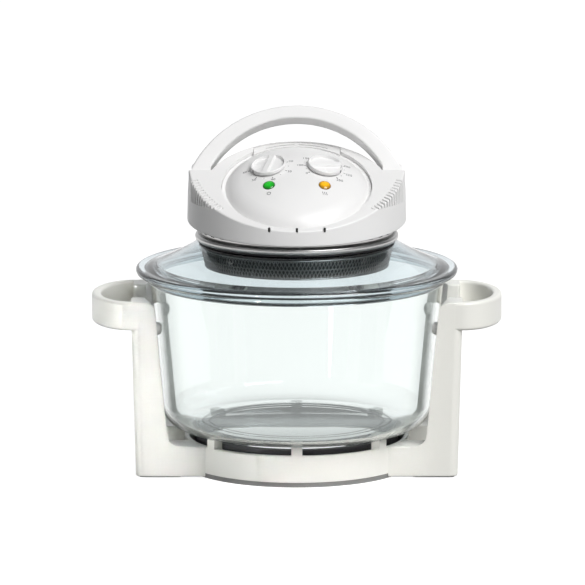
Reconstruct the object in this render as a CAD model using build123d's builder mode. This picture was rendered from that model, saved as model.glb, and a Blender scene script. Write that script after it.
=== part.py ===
"""Halogen oven: a glass bowl in a plastic stand, under a glass lid that carries the heater head.

Frame: millimetres, +Z up, the controls face -Y and +X is to the right of a cook who faces them.
Origin: on the ground, on the axis of the bowl.
"""

from build123d import *
import os
from math import cos, hypot, radians, sin, sqrt, tan

# ------------------------------------------------------------------ driving dimensions
clearance = 0.3              # between pieces that move apart
running_gap = 0.06           # radial play of a pin or shaft in its bore

# Stand
pad_height = 1.2
pad_length = 42.0
pad_width = 24.0
pad_x = 137.0
ring_radius = 113.5
ring_wall = 5.0
ring_bottom = 5.0
ring_top = 32.0
ring_floor = 3.0
ring_lip_round = 1.2
foot_ring_outer = 112.5
foot_ring_inner = 104.0
support_top = 40.0
support_length = 10.3
support_width = 11.0
support_angles = (40.6, 90.0, 139.4)
shield_inner = 96.0
shield_outer = 102.5
shield_top = 36.0
leg_outer_y = 67.0
leg_inner_y = 35.0
leg_outer_round = 9.0
leg_inner_round = 3.0
leg_face_round = 1.5
post_foot_x = 161.5          # the posts lean out a little on their way up
post_head_x = 166.0
post_inner_top_x = 141.0
post_top_round = 15.0
bar_inner_x = 80.0
frame_top = 178.5
loop_bottom = 150.0
loop_root_x = 158.0
loop_bend_x = 165.0
loop_reach = 206.5
loop_wall = 9.5
loop_round = 3.0
seat_gap = 10.3
seat_corner = 12.0
frame_joint_angle = 26.7
frame_joint_height = 18.0
frame_screw_r = 1.8
frame_screw_length = 15.5
frame_screw_head_r = 3.5
frame_screw_head = 3.4
frame_screw_hole = 1.85
bumper_angle = 20.8
bumper_height = 150.0
bumper_radius = 6.5
bumper_head = 10.9
bumper_reach = 145.4         # distance of the bumpers' faces from the axis
bumper_stem_r = 3.0
bumper_stem = 6.5
bumper_pocket = 140.0        # the pockets are cut from here outwards

# Bowl
bowl_bottom = support_top + clearance
bowl_floor = 5.0
bowl_glass = 4.5
bowl_corner = 28.0
bowl_wall_top_z = 190.0
bowl_wall_top_r = 148.0
bowl_flare = 0.082           # growth of the wall's radius for each millimetre of height
bowl_rim_r = 152.0
bowl_rim_top = 197.5
bowl_rim_round = 1.6
bowl_rim_edge = 2.0
bowl_rim_root = 1.5

# Lid
lid_rest = bowl_rim_top + clearance
lid_bead = 3.5
lid_radius = 162.2
lid_neck_r = 99.0
lid_hollow = (126.0, 215.0)  # radius and height of the hollow of the sloping part
lid_edge_r = 153.0
lid_edge_drop = 0.6
lid_under = 204.0
lid_under_hollow = (120.0, 212.9)
skirt_outer = 142.5
skirt_inner = 138.7
skirt_bottom = 191.0
collar_inner = 93.0
collar_step = 4.0
collar_low = 226.5
collar_high = 230.5

# Heater pack, from the bottom up
guard_bottom = 202.5
guard_bottom_r = 92.5
guard_top = 224.7
guard_top_r = 96.5
guard_hole_r = 18.0
guard_flange_r = 84.0
guard_slot = 7.0
guard_slot_height = 16.0
guard_side_slots = 48
guard_slot_length = 26.0
guard_slot_width = 10.0
guard_outer_slots_r = 72.0
guard_inner_slots_r = 39.0
sheet = 1.0
reflector_r = 90.7
reflector_roof = 235.5
reflector_roof_r = 72.0
reflector_foot_r = 80.0
seal_inner = 91.0
seal_outer = 99.5
seal_top = 232.2
clamp_top = 239.5
clamp_bulge_r = 102.3
clamp_bulge_z = 235.6
clamp_low_r = 98.5
clamp_inner_r = 91.5
clamp_sheet = 1.5
plate_top = 241.0
plate_r = 93.9
board_r = 91.2
vent_collar_outer = 97.0
vent_collar_wall = 3.0
vent_collar_overlap = 3.5    # height that the vent collar reaches up inside the housing
vent_slots = 36
vent_slot_width = 7.0
vent_slot_height = 3.5
lamp_ring_r = 62.0
lamp_tube_r = 5.0
lamp_wall = 1.0
filament_r = 0.9
lamp_z = 216.0
lamp_gap_angle = 40.0
lamp_start = 90 + lamp_gap_angle / 2
filament_lead_angle = 2.0    # how far the filament runs on past each end of the tube
cap_length = 14.0
cap_width = 12.0
cap_low = 208.5
cap_inset_angle = 2.0        # how far the end caps sit outside the ends of the tube
clip_sheet = 1.0
clip_width = 6.0
bulb_r = 2.5
bulb_z = 229.5
bulb_front_y = -14.0
bulb_length = 32.0
capillary_r = 0.9
capillary_top = 287.0
capillary_end = 8.0
capillary_bend = 3.0
fan_radius = 45.0
fan_low = 211.5
fan_blade_height = 10.0
fan_disc = 1.2
fan_blades = 8
fan_blade_length = 31.0
fan_blade_lean = 12.0
blade_r = 28.0
blade_sheet = 1.2
fan_hub_r = 7.0
nut_low = 207.0
nut_size = 6.0
shaft_radius = 3.0
shaft_low = 205.5
shaft_length = 75.0
shaft_hole = 6.0
cooling_fan_low = 243.5
cooling_fan_radius = 44.0
cooling_fan_disc = 1.0
cooling_fan_height = 8.0
cooling_fan_blades = 9
cooling_fan_hub_r = 8.0
cooling_blade_length = 30.0
cooling_blade_lean = 15.0
bracket_reach = 62.0
bracket_post = 50.0
bracket_width = 24.0
bracket_top = 255.5
bracket_sheet = 1.5
motor_size = 48.0
motor_corner = 8.0
motor_height = 22.5
motor_end = 3.0
rotor_radius = 17.0
rotor_gap = 1.0
rotor_length = 13.5
rotor_low = 260.0
capillary_hole = (52.0, -30.0)
capillary_hole_r = 1.4
guard_screw_r = 87.0
guard_screw_angle = 45.0
guard_screw_shank = 1.5
guard_screw_head_r = 3.0
guard_screw_head = 2.0

# Head housing
head_wall = 3.0
drum_bottom_r = 110.6
drum_top_r = 108.6
drum_low_z = 236.0
drum_high_z = 316.0
skirt_tilt = 5.1             # slope of the housing's lower edge, rising to the back
skirt_mid_z = 252.3
skirt_round = 1.0
rim_round = 1.8
panel_tilt = 25.0            # slope of the control panel, rising to the back
panel_centre = Vector(0, -37.0, 291.75)
turret_x = 92.0
turret_s = 81.4
turret_draft = 3.5
turret_depth = 58.0
turret_front_y = -25.0       # the turret starts here and runs to the back
dome_radius = 165.0
dome_drop = 147.5            # from the dome's centre of curvature up to the panel plane
dome_edge = 56.0             # where the dome starts to roll over into the groove
panel_roll_r = 71.5          # where it reaches the bottom of the groove
panel_inner_roll_r = 69.5
panel_wall = 2.5
panel_flange = 2.6
groove_depth = 4.0
panel_radius = 74.9
opening_radius = 75.3
opening_depth = groove_depth + panel_flange + 0.1
ledge_radius = 68.0
ledge_depth = 12.0
cover_reach = 43.5           # half width of the rear vent cover
cover_sheet = 2.5
cover_drop = 1.1
notch_depth = cover_drop + cover_sheet + 0.2
cover_rim = 2.2              # width of the rim that is left beside the cover
cover_middle = 60.0
cover_inner_r = 72.0
cover_slot = 1.2
cover_slot_r = 75.2
cover_slot_reach = 62.0
cover_slot_bridge = 4.0
boss_face = 70.0
boss_r = 9.0
boss_length = 9.0
boss_nose_r = 5.8
cam_room_r = 8.5
cam_room = 11.0
housing_boss_r = 4.5
housing_bosses = ((80.0, -37.0, 289.0), (50.0, 70.0, 281.0))
housing_screw_hole = 1.5
housing_screw_hole_depth = 15.0
housing_screw_head_r = 3.2
housing_screw_head = 2.4
housing_screw_length = 14.0
comb_starts = (-44.5, -164.5)
comb_slots = 13
comb_sweep = 29.0
comb_bottom = 274.0
comb_slot = 2.0
comb_slot_depth = 12.0
comb_r = 108.5
front_slot_start = 100.0
front_slot_spacing = 27.3
front_slot_z = 258.6
front_slot_length = 4.8
front_slot_width = 2.6
exhaust_starts = (28.0, 112.0)
exhaust_slots = 9
exhaust_sweep = 40.0
exhaust_bottom = 266.5
exhaust_height = 11.5
exhaust_slot = 3.0
exhaust_slot_depth = 12.0
exhaust_r = 108.0

# Carry handle
pivot_y = 1.5
pivot_z = 295.2
hub_radius = 12.0
hub_gap = 0.6
hub_side_gap = 0.4
handle_lean = 25.0
handle_depth = 24.0
handle_outer_arc = 118.0
handle_inner_arc = 98.0
handle_outer_top = 71.3
handle_inner_top = 57.6
handle_outer_x = 105.5
handle_inner_x = 86.2
handle_round = 2.0
pin_radius = 4.0
pin_start = 60.0
pin_grip = 12.0              # length of the pin inside the handle
handle_travel = 65.0
cam_radius = 7.0
cam_lift = 3.0
cam_hub_r = 6.0
cam_face = -62.0
cam_width = 6.0
switch_x = -65.0
plunger_r = 1.5
plunger_length = 10.0
plunger_round = 1.4
switch_low = 265.0
switch_width = 8.0
switch_length = 20.0
bracket_foot = 8.0
switch_bracket_sheet = 1.2
switch_bracket_top = 280.0
switch_drop = 4.0            # height of the plunger above the switch

# Controls
knob_x = 28.0
knob_s = 11.5
knob_radius = 17.8
knob_height = 3.9
knob_lift = 0.6              # the knobs turn this far above the panel
knob_taper = 4.0
knob_round = 1.0
knob_floor = 1.3             # thickness left under the finger pockets
knob_bar = 7.0               # width of the finger bar between the pockets
pocket_rim = 1.7             # wall left outside each pocket
pocket_round = 2.5
knob_bore = 2.7
shaft_start = 15.5
works_size = 30.0
works_depth = 22.0
works_top = 4.4
works_bush_r = 5.0
works_bush = 1.6
lens_x = 27.8
lens_s = -19.5
lens_radius = 6.2
lens_rise = 2.2
lens_round = 1.9
lens_sink = 3.0
lens_flange = 1.3
lens_flange_sheet = 1.6
lens_wall = 1.5
lens_hollow = 4.2
indicator_length = 70.0
indicator_width = 14.0
indicator_sheet = 1.6
indicator_depth = 3.6
indicator_x = 26.4
indicator_lamp_r = 2.5
indicator_lamp = 8.5
panel_post_r = 3.5
panel_post = 16.5
timer_bar_angle = -14.0      # turn of the bar from straight uphill
thermostat_bar_angle = -72.0

# Cord entry
gland_z = 271.5
gland_bore = 3.75
gland_r = 6.0
gland_flange_r = 8.0
gland_start = 99.0
gland_length = 14.0
gland_flange = 2.8
gland_round = 1.2
terminal_y = 82.0
terminal_length = 26.0
terminal_width = 11.0
terminal_height = 12.0
terminal_pitch = 8.0
terminal_hole = 2.2

# ------------------------------------------------------------------ planes
tilt = radians(panel_tilt)
panel_plane = Plane(panel_centre, x_dir=(1, 0, 0), z_dir=(0, -sin(tilt), cos(tilt)))
panel_section = Plane(panel_centre, x_dir=(1, 0, 0), z_dir=(0, -cos(tilt), -sin(tilt)))
lean = radians(handle_lean)
handle_plane = Plane(
    (0, pivot_y, pivot_z), x_dir=(1, 0, 0), z_dir=(0, -cos(lean), sin(lean))
)
skirt_plane = Plane((0, 0, skirt_mid_z)).rotated((skirt_tilt, 0, 0))


def radial_plane(radius, angle, height):
    """A plane square to the radius at this angle, facing away from the axis."""
    outward = Vector(1, 0, 0).rotate(Axis.Z, angle)
    return Plane(outward * radius + Vector(0, 0, height), x_dir=(0, 0, 1), z_dir=outward)


def section_plane(angle):
    """An upright plane through the axis: x is the radius at this angle, y is the height."""
    outward = Vector(1, 0, 0).rotate(Axis.Z, angle)
    return Plane((0, 0, 0), x_dir=outward, z_dir=outward.rotate(Axis.Z, -90))


def dome_plane(x, s):
    """A plane that touches the panel's dome at (x, s), x to the right and s uphill."""
    height = sqrt(dome_radius**2 - x**2 - s**2)
    centre = panel_plane.from_local_coords(Vector(0, 0, -dome_drop))
    touch = panel_plane.from_local_coords(Vector(x, s, height - dome_drop))
    normal = (touch - centre).normalized()
    return Plane(touch, x_dir=panel_plane.y_dir.cross(normal), z_dir=normal)


def bowl_radius(height):
    """Outer radius of the bowl's wall at this height."""
    return bowl_wall_top_r - bowl_flare * (bowl_wall_top_z - height)


# ------------------------------------------------------------------ stand
with BuildPart() as foot_ring:
    with BuildSketch():
        Circle(foot_ring_outer)
        Circle(foot_ring_inner, mode=Mode.SUBTRACT)
    extrude(amount=ring_bottom)

with BuildPart() as base_ring:
    with BuildSketch(Plane.XY.offset(ring_bottom)):
        Circle(ring_radius)
        Circle(shield_inner - ring_floor, mode=Mode.SUBTRACT)
    extrude(amount=ring_floor)
    with BuildSketch(Plane.XY.offset(ring_bottom)):
        Circle(ring_radius)
        Circle(ring_radius - ring_wall, mode=Mode.SUBTRACT)
    extrude(amount=ring_top - ring_bottom)
    fillet(base_ring.edges().group_by(Axis.Z)[-1], ring_lip_round)
    support_r = ring_radius - support_length / 2 - 0.2
    with BuildSketch(Plane.XY.offset(ring_bottom + ring_floor)):
        for angle in support_angles:
            with PolarLocations(support_r, 2, start_angle=angle):
                Rectangle(support_length, support_width)
    extrude(amount=support_top - ring_bottom - ring_floor)
    for angle in (frame_joint_angle, 180 - frame_joint_angle):
        with BuildSketch(radial_plane(0, angle, frame_joint_height)):
            Circle(frame_screw_r + 0.1)
        extrude(amount=ring_radius + ring_wall, both=True, mode=Mode.SUBTRACT)

with BuildPart() as heat_shield_ring:
    with BuildSketch(Plane.XY.offset(ring_bottom + ring_floor)):
        Circle(shield_outer)
        Circle(shield_inner, mode=Mode.SUBTRACT)
    extrude(amount=shield_top - ring_bottom - ring_floor)


def stand_leg():
    """The front right leg: a bar along the ground and the post that rises from it."""
    with BuildPart() as leg:
        with BuildSketch(Plane.XZ.offset(leg_outer_y)) as profile:
            with BuildLine():
                Polyline(
                    (bar_inner_x, pad_height),
                    (post_foot_x, pad_height),
                    (post_head_x, frame_top),
                    (post_inner_top_x, frame_top),
                    (ring_radius, ring_top),
                    (bar_inner_x, ring_top),
                    close=True,
                )
            make_face()
            top_corners = profile.vertices().group_by(Axis.Y)[-1]
            fillet(top_corners.sort_by(Axis.X)[0], post_top_round)
        extrude(amount=leg_inner_y - leg_outer_y)
        uprights = leg.faces().sort_by(Axis.X)[-1].edges().sort_by(SortBy.LENGTH)[-2:]
        fillet(uprights.sort_by(Axis.Y)[0], leg_outer_round)
        uprights = leg.faces().sort_by(Axis.X)[-1].edges().sort_by(SortBy.LENGTH)[-2:]
        fillet(uprights.sort_by(Axis.Y)[-1], leg_inner_round)
        front_edges = leg.faces().sort_by(Axis.Y)[0].edges().sort_by(SortBy.LENGTH)
        fillet(front_edges[:-1], leg_face_round)
    return leg.part


front_leg = stand_leg()

with BuildPart() as right_frame:
    with BuildSketch(Plane.XY.offset(loop_bottom)):
        with BuildLine():
            inner_y = leg_outer_y - loop_wall
            Line((loop_root_x, -leg_outer_y), (loop_bend_x, -leg_outer_y))
            outer_bend = loop_reach - loop_bend_x
            EllipticalCenterArc((loop_bend_x, 0), outer_bend, leg_outer_y, start_angle=-90, arc_size=180)
            Polyline(
                (loop_bend_x, leg_outer_y),
                (loop_root_x, leg_outer_y),
                (loop_root_x, inner_y),
                (loop_bend_x, inner_y),
            )
            inner_bend = outer_bend - loop_wall
            EllipticalCenterArc((loop_bend_x, 0), inner_bend, inner_y, start_angle=-90, arc_size=180)
            Polyline((loop_bend_x, -inner_y), (loop_root_x, -inner_y), (loop_root_x, -leg_outer_y))
        make_face()
    extrude(amount=frame_top - loop_bottom)
    fillet(right_frame.edges().filter_by(Axis.Z, reverse=True), loop_round)
    add(front_leg)
    mirror(front_leg, about=Plane.XZ)
    with BuildSketch(Plane.XZ) as seat:
        with BuildLine():
            Polyline(
                (0, ring_top),
                (bowl_radius(ring_top) + seat_gap, ring_top),
                (bowl_radius(bowl_wall_top_z) + seat_gap, bowl_wall_top_z),
                (0, bowl_wall_top_z),
                close=True,
            )
        make_face()
        low_corners = seat.vertices().group_by(Axis.Y)[0]
        fillet(low_corners.sort_by(Axis.X)[-1], seat_corner)
    revolve(axis=Axis.Z, mode=Mode.SUBTRACT)
    with BuildSketch():
        Circle(ring_radius)
    extrude(amount=ring_top, mode=Mode.SUBTRACT)
    for angle in (-bumper_angle, bumper_angle):
        with BuildSketch(radial_plane(bumper_pocket, angle, bumper_height)):
            Circle(bumper_radius + 0.1)
        extrude(amount=bumper_reach + bumper_head - bumper_pocket, mode=Mode.SUBTRACT)
        with BuildSketch(radial_plane(bumper_pocket, angle, bumper_height)):
            Circle(bumper_stem_r + 0.05)
        extrude(amount=bumper_reach + bumper_head + bumper_stem + 0.5 - bumper_pocket, mode=Mode.SUBTRACT)
    for angle in (-frame_joint_angle, frame_joint_angle):
        with BuildSketch(radial_plane(ring_radius - 3.5, angle, frame_joint_height)):
            Circle(frame_screw_hole)
        extrude(amount=frame_screw_length - 1.0, mode=Mode.SUBTRACT)

with BuildPart() as left_frame:
    mirror(right_frame.part, about=Plane.YZ)

with BuildPart() as frame_screws:
    seat_r = ring_radius - ring_wall - 0.2
    right_angles = (frame_joint_angle, -frame_joint_angle)
    for angle in (*right_angles, *(180 - turn for turn in right_angles)):
        with BuildSketch(radial_plane(seat_r - frame_screw_head, angle, frame_joint_height)):
            Circle(frame_screw_head_r)
        extrude(amount=frame_screw_head)
        with BuildSketch(radial_plane(seat_r, angle, frame_joint_height)):
            Circle(frame_screw_r)
        extrude(amount=frame_screw_length)

with BuildPart() as bumper_pegs:
    for angle in (bumper_angle, 180 - bumper_angle, -bumper_angle, bumper_angle - 180):
        with BuildSketch(radial_plane(bumper_reach, angle, bumper_height)):
            Circle(bumper_radius)
        extrude(amount=bumper_head)
        with BuildSketch(radial_plane(bumper_reach + bumper_head, angle, bumper_height)):
            Circle(bumper_stem_r)
        extrude(amount=bumper_stem)
    tips = bumper_pegs.edges().filter_by(GeomType.CIRCLE)
    fillet([edge for edge in tips if hypot(edge.center().X, edge.center().Y) < bumper_reach + 1], 3.4)

with BuildPart() as rubber_pads:
    with BuildSketch():
        with GridLocations(2 * pad_x, leg_outer_y + leg_inner_y, 2, 2):
            RectangleRounded(pad_length, pad_width, 4.0)
    extrude(amount=pad_height)

# ------------------------------------------------------------------ bowl
with BuildPart() as glass_bowl:
    with BuildSketch(Plane.XZ) as bowl_section:
        inner_floor = bowl_bottom + bowl_floor
        rim_inner = bowl_radius(bowl_rim_top) - bowl_glass
        with BuildLine():
            Polyline(
                (0, bowl_bottom),
                (bowl_radius(bowl_bottom), bowl_bottom),
                (bowl_wall_top_r, bowl_wall_top_z),
                (bowl_rim_r, bowl_wall_top_z),
                (bowl_rim_r, bowl_rim_top),
                (rim_inner, bowl_rim_top),
                (bowl_radius(inner_floor) - bowl_glass, inner_floor),
                (0, inner_floor),
                close=True,
            )
        make_face()
        outline = bowl_section.vertices().filter_by(lambda corner: corner.X > 1)
        fillet(outline.group_by(Axis.Y)[0], bowl_corner)
        fillet(outline.group_by(Axis.Y)[1], bowl_corner - bowl_glass)
        fillet(outline.group_by(Axis.Y)[2].sort_by(Axis.X)[0], bowl_rim_root)
        fillet(outline.group_by(Axis.Y)[2].sort_by(Axis.X)[1], bowl_rim_edge)
        fillet(outline.group_by(Axis.Y)[3], bowl_rim_round)
    revolve(axis=Axis.Z)

# ------------------------------------------------------------------ lid
with BuildPart() as glass_lid:
    with BuildSketch(Plane.XZ):
        bead_r = lid_radius - lid_bead
        bead_top = lid_rest + 2 * lid_bead
        with BuildLine():
            Polyline(
                (collar_inner + collar_step, collar_low),
                (collar_inner, collar_low),
                (collar_inner, collar_high),
                (lid_neck_r, collar_high),
            )
            slope_end = (lid_edge_r, bead_top - lid_edge_drop)
            ThreePointArc((lid_neck_r, collar_high), lid_hollow, slope_end)
            Line(slope_end, (bead_r, bead_top))
            ThreePointArc((bead_r, bead_top), (lid_radius, lid_rest + lid_bead), (bead_r, lid_rest))
            Polyline(
                (bead_r, lid_rest),
                (skirt_outer, lid_rest),
                (skirt_outer, skirt_bottom),
                (skirt_inner, skirt_bottom),
                (skirt_inner, lid_under),
            )
            collar_foot = (collar_inner + collar_step, collar_low)
            ThreePointArc((skirt_inner, lid_under), lid_under_hollow, collar_foot)
        make_face()
    revolve(axis=Axis.Z)

with BuildPart() as lid_seal:
    with BuildSketch(Plane.XZ):
        with BuildLine():
            Polyline(
                (seal_inner, guard_top),
                (guard_top_r, guard_top),
                (guard_top_r, collar_low),
                (collar_inner, collar_low),
                (collar_inner, collar_high),
                (seal_outer, collar_high),
                (seal_outer, seal_top),
                (seal_inner, seal_top),
                close=True,
            )
        make_face()
    revolve(axis=Axis.Z)

with BuildPart() as clamp_ring:
    with BuildSketch(Plane.XZ):
        outer_low = clamp_low_r + 2.0
        outer_high = clamp_low_r + 1.0
        lip_low = clamp_top - clamp_sheet
        with BuildLine():
            Line((clamp_low_r, seal_top), (outer_low, seal_top))
            ThreePointArc((outer_low, seal_top), (clamp_bulge_r, clamp_bulge_z), (outer_high, clamp_top))
            Polyline(
                (outer_high, clamp_top),
                (clamp_inner_r, clamp_top),
                (clamp_inner_r, lip_low),
                (clamp_low_r - 0.7, lip_low),
            )
            inner_bulge = (clamp_bulge_r - 2.0, clamp_bulge_z - 0.2)
            ThreePointArc((clamp_low_r - 0.7, lip_low), inner_bulge, (clamp_low_r, seal_top))
        make_face()
    revolve(axis=Axis.Z)

with BuildPart() as vent_collar:
    with BuildSketch(Plane.XY.offset(clamp_top)):
        Circle(vent_collar_outer)
        Circle(vent_collar_outer - vent_collar_wall, mode=Mode.SUBTRACT)
    extrude(amount=skirt_mid_z - clamp_top + 30)
    split(bisect_by=skirt_plane.offset(vent_collar_overlap), keep=Keep.BOTTOM)
    with BuildSketch(Plane.XY.offset(clamp_top + 2)):
        with PolarLocations(vent_collar_outer - vent_collar_wall / 2, vent_slots):
            Rectangle(vent_collar_wall + 5, vent_slot_width)
    extrude(amount=vent_slot_height, mode=Mode.SUBTRACT)

# ------------------------------------------------------------------ heater pack
guard_screw_places = PolarLocations(guard_screw_r, 4, start_angle=guard_screw_angle)

with BuildPart() as lamp_guard:
    with BuildSketch(Plane.XZ):
        with BuildLine():
            Polyline(
                (guard_hole_r, guard_bottom),
                (guard_bottom_r, guard_bottom),
                (guard_top_r, guard_top),
                (guard_flange_r, guard_top),
                (guard_flange_r, guard_top - sheet),
                (guard_top_r - 1.3 * sheet, guard_top - sheet),
                (guard_bottom_r - 1.2 * sheet, guard_bottom + sheet),
                (guard_hole_r, guard_bottom + sheet),
                close=True,
            )
        make_face()
    revolve(axis=Axis.Z)
    with BuildSketch(Plane.XY.offset(guard_bottom + 3 * sheet)):
        with PolarLocations((guard_bottom_r + guard_top_r) / 2, guard_side_slots):
            Rectangle(10 * sheet, guard_slot)
    extrude(amount=guard_slot_height, mode=Mode.SUBTRACT)
    with BuildSketch(Plane.XY.offset(guard_bottom - sheet)):
        with PolarLocations(guard_outer_slots_r, guard_side_slots // 2):
            SlotOverall(guard_slot_length, guard_slot_width)
        with PolarLocations(guard_inner_slots_r, guard_side_slots // 4):
            SlotOverall(guard_slot_length, guard_slot_width - 1.0)
    extrude(amount=3 * sheet, mode=Mode.SUBTRACT)
    with BuildSketch(Plane.XY.offset(guard_top - 3 * sheet)):
        with guard_screw_places:
            Circle(guard_screw_shank + 0.2)
    extrude(amount=5 * sheet, mode=Mode.SUBTRACT)

with BuildPart() as reflector:
    with BuildSketch(Plane.XZ):
        with BuildLine():
            Polyline(
                (shaft_hole, reflector_roof),
                (reflector_roof_r, reflector_roof),
                (reflector_foot_r, guard_top + sheet),
                (reflector_r, guard_top + sheet),
                (reflector_r, guard_top),
                (reflector_foot_r - 0.8 * sheet, guard_top),
                (reflector_roof_r - 0.7 * sheet, reflector_roof - sheet),
                (shaft_hole, reflector_roof - sheet),
                close=True,
            )
        make_face()
    revolve(axis=Axis.Z)
    with BuildSketch(Plane.XY.offset(guard_top - sheet)):
        with guard_screw_places:
            Circle(guard_screw_shank + 0.2)
    extrude(amount=3 * sheet, mode=Mode.SUBTRACT)
    with BuildSketch(Plane.XY.offset(reflector_roof - 3 * sheet)):
        with Locations(capillary_hole):
            Circle(capillary_hole_r)
    extrude(amount=5 * sheet, mode=Mode.SUBTRACT)

with BuildPart() as insulation_board:
    with BuildSketch(Plane.XY.offset(reflector_roof)):
        Circle(board_r)
        Circle(shaft_hole, mode=Mode.SUBTRACT)
        with guard_screw_places:
            Circle(guard_screw_shank + 0.4, mode=Mode.SUBTRACT)
        with Locations(capillary_hole):
            Circle(capillary_hole_r, mode=Mode.SUBTRACT)
        for x, y, _ in housing_bosses:
            with Locations((x, y), (-x, y)):
                Circle(housing_screw_head_r + 1.0, mode=Mode.SUBTRACT)
    extrude(amount=clamp_top - reflector_roof)

with BuildPart() as base_plate:
    with BuildSketch(Plane.XY.offset(clamp_top)):
        Circle(plate_r)
        Circle(shaft_hole, mode=Mode.SUBTRACT)
        with guard_screw_places:
            Circle(guard_screw_shank + 0.1, mode=Mode.SUBTRACT)
        with Locations(capillary_hole):
            Circle(capillary_hole_r, mode=Mode.SUBTRACT)
        for x, y, _ in housing_bosses:
            with Locations((x, y), (-x, y)):
                Circle(housing_screw_hole + 0.4, mode=Mode.SUBTRACT)
    extrude(amount=plate_top - clamp_top)

with BuildPart() as guard_screws:
    with BuildSketch(Plane.XY.offset(guard_top - sheet - guard_screw_head)):
        with guard_screw_places:
            Circle(guard_screw_head_r)
    extrude(amount=guard_screw_head)
    with BuildSketch(Plane.XY.offset(guard_top - sheet)):
        with guard_screw_places:
            Circle(guard_screw_shank)
    extrude(amount=plate_top - guard_top + sheet + 1.5)

with BuildPart() as halogen_tube:
    with BuildSketch(section_plane(lamp_start)):
        with Locations((lamp_ring_r, lamp_z)):
            Circle(lamp_tube_r)
            Circle(lamp_tube_r - lamp_wall, mode=Mode.SUBTRACT)
    revolve(axis=Axis.Z, revolution_arc=360 - lamp_gap_angle)

with BuildPart() as filament:
    with BuildSketch(section_plane(lamp_start - filament_lead_angle)):
        with Locations((lamp_ring_r, lamp_z)):
            Circle(filament_r)
    revolve(axis=Axis.Z, revolution_arc=360 - lamp_gap_angle + 2 * filament_lead_angle)

with BuildPart() as lamp_caps:
    for angle in (lamp_start - cap_inset_angle, 180 - lamp_start + cap_inset_angle):
        outward = Vector(1, 0, 0).rotate(Axis.Z, angle)
        cap_foot = outward * lamp_ring_r + Vector(0, 0, cap_low)
        with BuildSketch(Plane(cap_foot, x_dir=outward, z_dir=(0, 0, 1))):
            RectangleRounded(cap_length, cap_width, 2)
        extrude(amount=reflector_roof - sheet - cap_low)
    with BuildSketch(section_plane(lamp_start)):
        with Locations((lamp_ring_r, lamp_z)):
            Circle(lamp_tube_r + 0.05)
    revolve(axis=Axis.Z, revolution_arc=360 - lamp_gap_angle, mode=Mode.SUBTRACT)
    with BuildSketch(section_plane(lamp_start - filament_lead_angle)):
        with Locations((lamp_ring_r, lamp_z)):
            Circle(filament_r + 0.1)
    full_arc = 360 - lamp_gap_angle + 2 * filament_lead_angle
    revolve(axis=Axis.Z, revolution_arc=full_arc, mode=Mode.SUBTRACT)

with BuildPart() as lamp_clips:
    stem_low = lamp_z + lamp_tube_r + 0.4
    stem_high = reflector_roof - sheet
    for angle in (0, -90, 180):
        with BuildSketch(section_plane(angle)):
            with Locations((lamp_ring_r, lamp_z)):
                Circle(lamp_tube_r + 0.1 + clip_sheet)
                Circle(lamp_tube_r + 0.1, mode=Mode.SUBTRACT)
            with Locations((lamp_ring_r, (stem_low + stem_high) / 2)):
                Rectangle(2 * clip_sheet, stem_high - stem_low)
        extrude(amount=clip_width / 2, both=True)

with BuildPart() as thermostat_bulb:
    bulb_x = capillary_hole[0]
    capillary_y = capillary_hole[1]
    with BuildSketch(Plane.XZ.offset(-bulb_front_y)):
        with Locations((bulb_x, bulb_z)):
            Circle(bulb_r)
    extrude(amount=-bulb_length)
    with BuildLine() as capillary:
        FilletPolyline(
            (bulb_x, bulb_front_y, bulb_z),
            (bulb_x, capillary_y, bulb_z),
            (bulb_x, capillary_y, capillary_top),
            (bulb_x - capillary_end, capillary_y, capillary_top),
            radius=capillary_bend,
        )
    with BuildSketch(Plane((bulb_x, bulb_front_y, bulb_z), z_dir=(0, -1, 0))):
        Circle(capillary_r)
    sweep(path=capillary.line)

# ------------------------------------------------------------------ fans and motor
with BuildPart() as hot_air_fan:
    fan_high = fan_low + fan_blade_height
    with BuildSketch(Plane.XY.offset(fan_high)):
        Circle(fan_radius)
    extrude(amount=fan_disc)
    with BuildSketch(Plane.XY.offset(fan_low)):
        with PolarLocations(blade_r, fan_blades, start_angle=20):
            Rectangle(fan_blade_length, blade_sheet, rotation=fan_blade_lean)
    extrude(amount=fan_blade_height)
    with BuildSketch(Plane.XY.offset(fan_low)):
        Circle(fan_hub_r)
    extrude(amount=fan_blade_height + fan_disc)
    with BuildSketch(Plane.XY.offset(fan_low)):
        Circle(shaft_radius)
    extrude(amount=fan_blade_height + 2 * fan_disc, mode=Mode.SUBTRACT)

with BuildPart() as fan_nut:
    with BuildSketch(Plane.XY.offset(nut_low)):
        RegularPolygon(nut_size, 6)
        Circle(shaft_radius, mode=Mode.SUBTRACT)
    extrude(amount=fan_low - nut_low)

with BuildPart() as motor_shaft:
    with BuildSketch(Plane.XY.offset(shaft_low)):
        Circle(shaft_radius)
    extrude(amount=shaft_length)

with BuildPart() as cooling_fan:
    with BuildSketch(Plane.XY.offset(cooling_fan_low)):
        Circle(cooling_fan_radius)
    extrude(amount=cooling_fan_disc)
    with BuildSketch(Plane.XY.offset(cooling_fan_low + cooling_fan_disc)):
        with PolarLocations(blade_r, cooling_fan_blades):
            Rectangle(cooling_blade_length, blade_sheet, rotation=cooling_blade_lean)
    extrude(amount=cooling_fan_height - cooling_fan_disc)
    with BuildSketch(Plane.XY.offset(cooling_fan_low)):
        Circle(cooling_fan_hub_r)
    extrude(amount=cooling_fan_height)
    with BuildSketch(Plane.XY.offset(cooling_fan_low)):
        Circle(shaft_radius)
    extrude(amount=cooling_fan_height + 1, mode=Mode.SUBTRACT)

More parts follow.
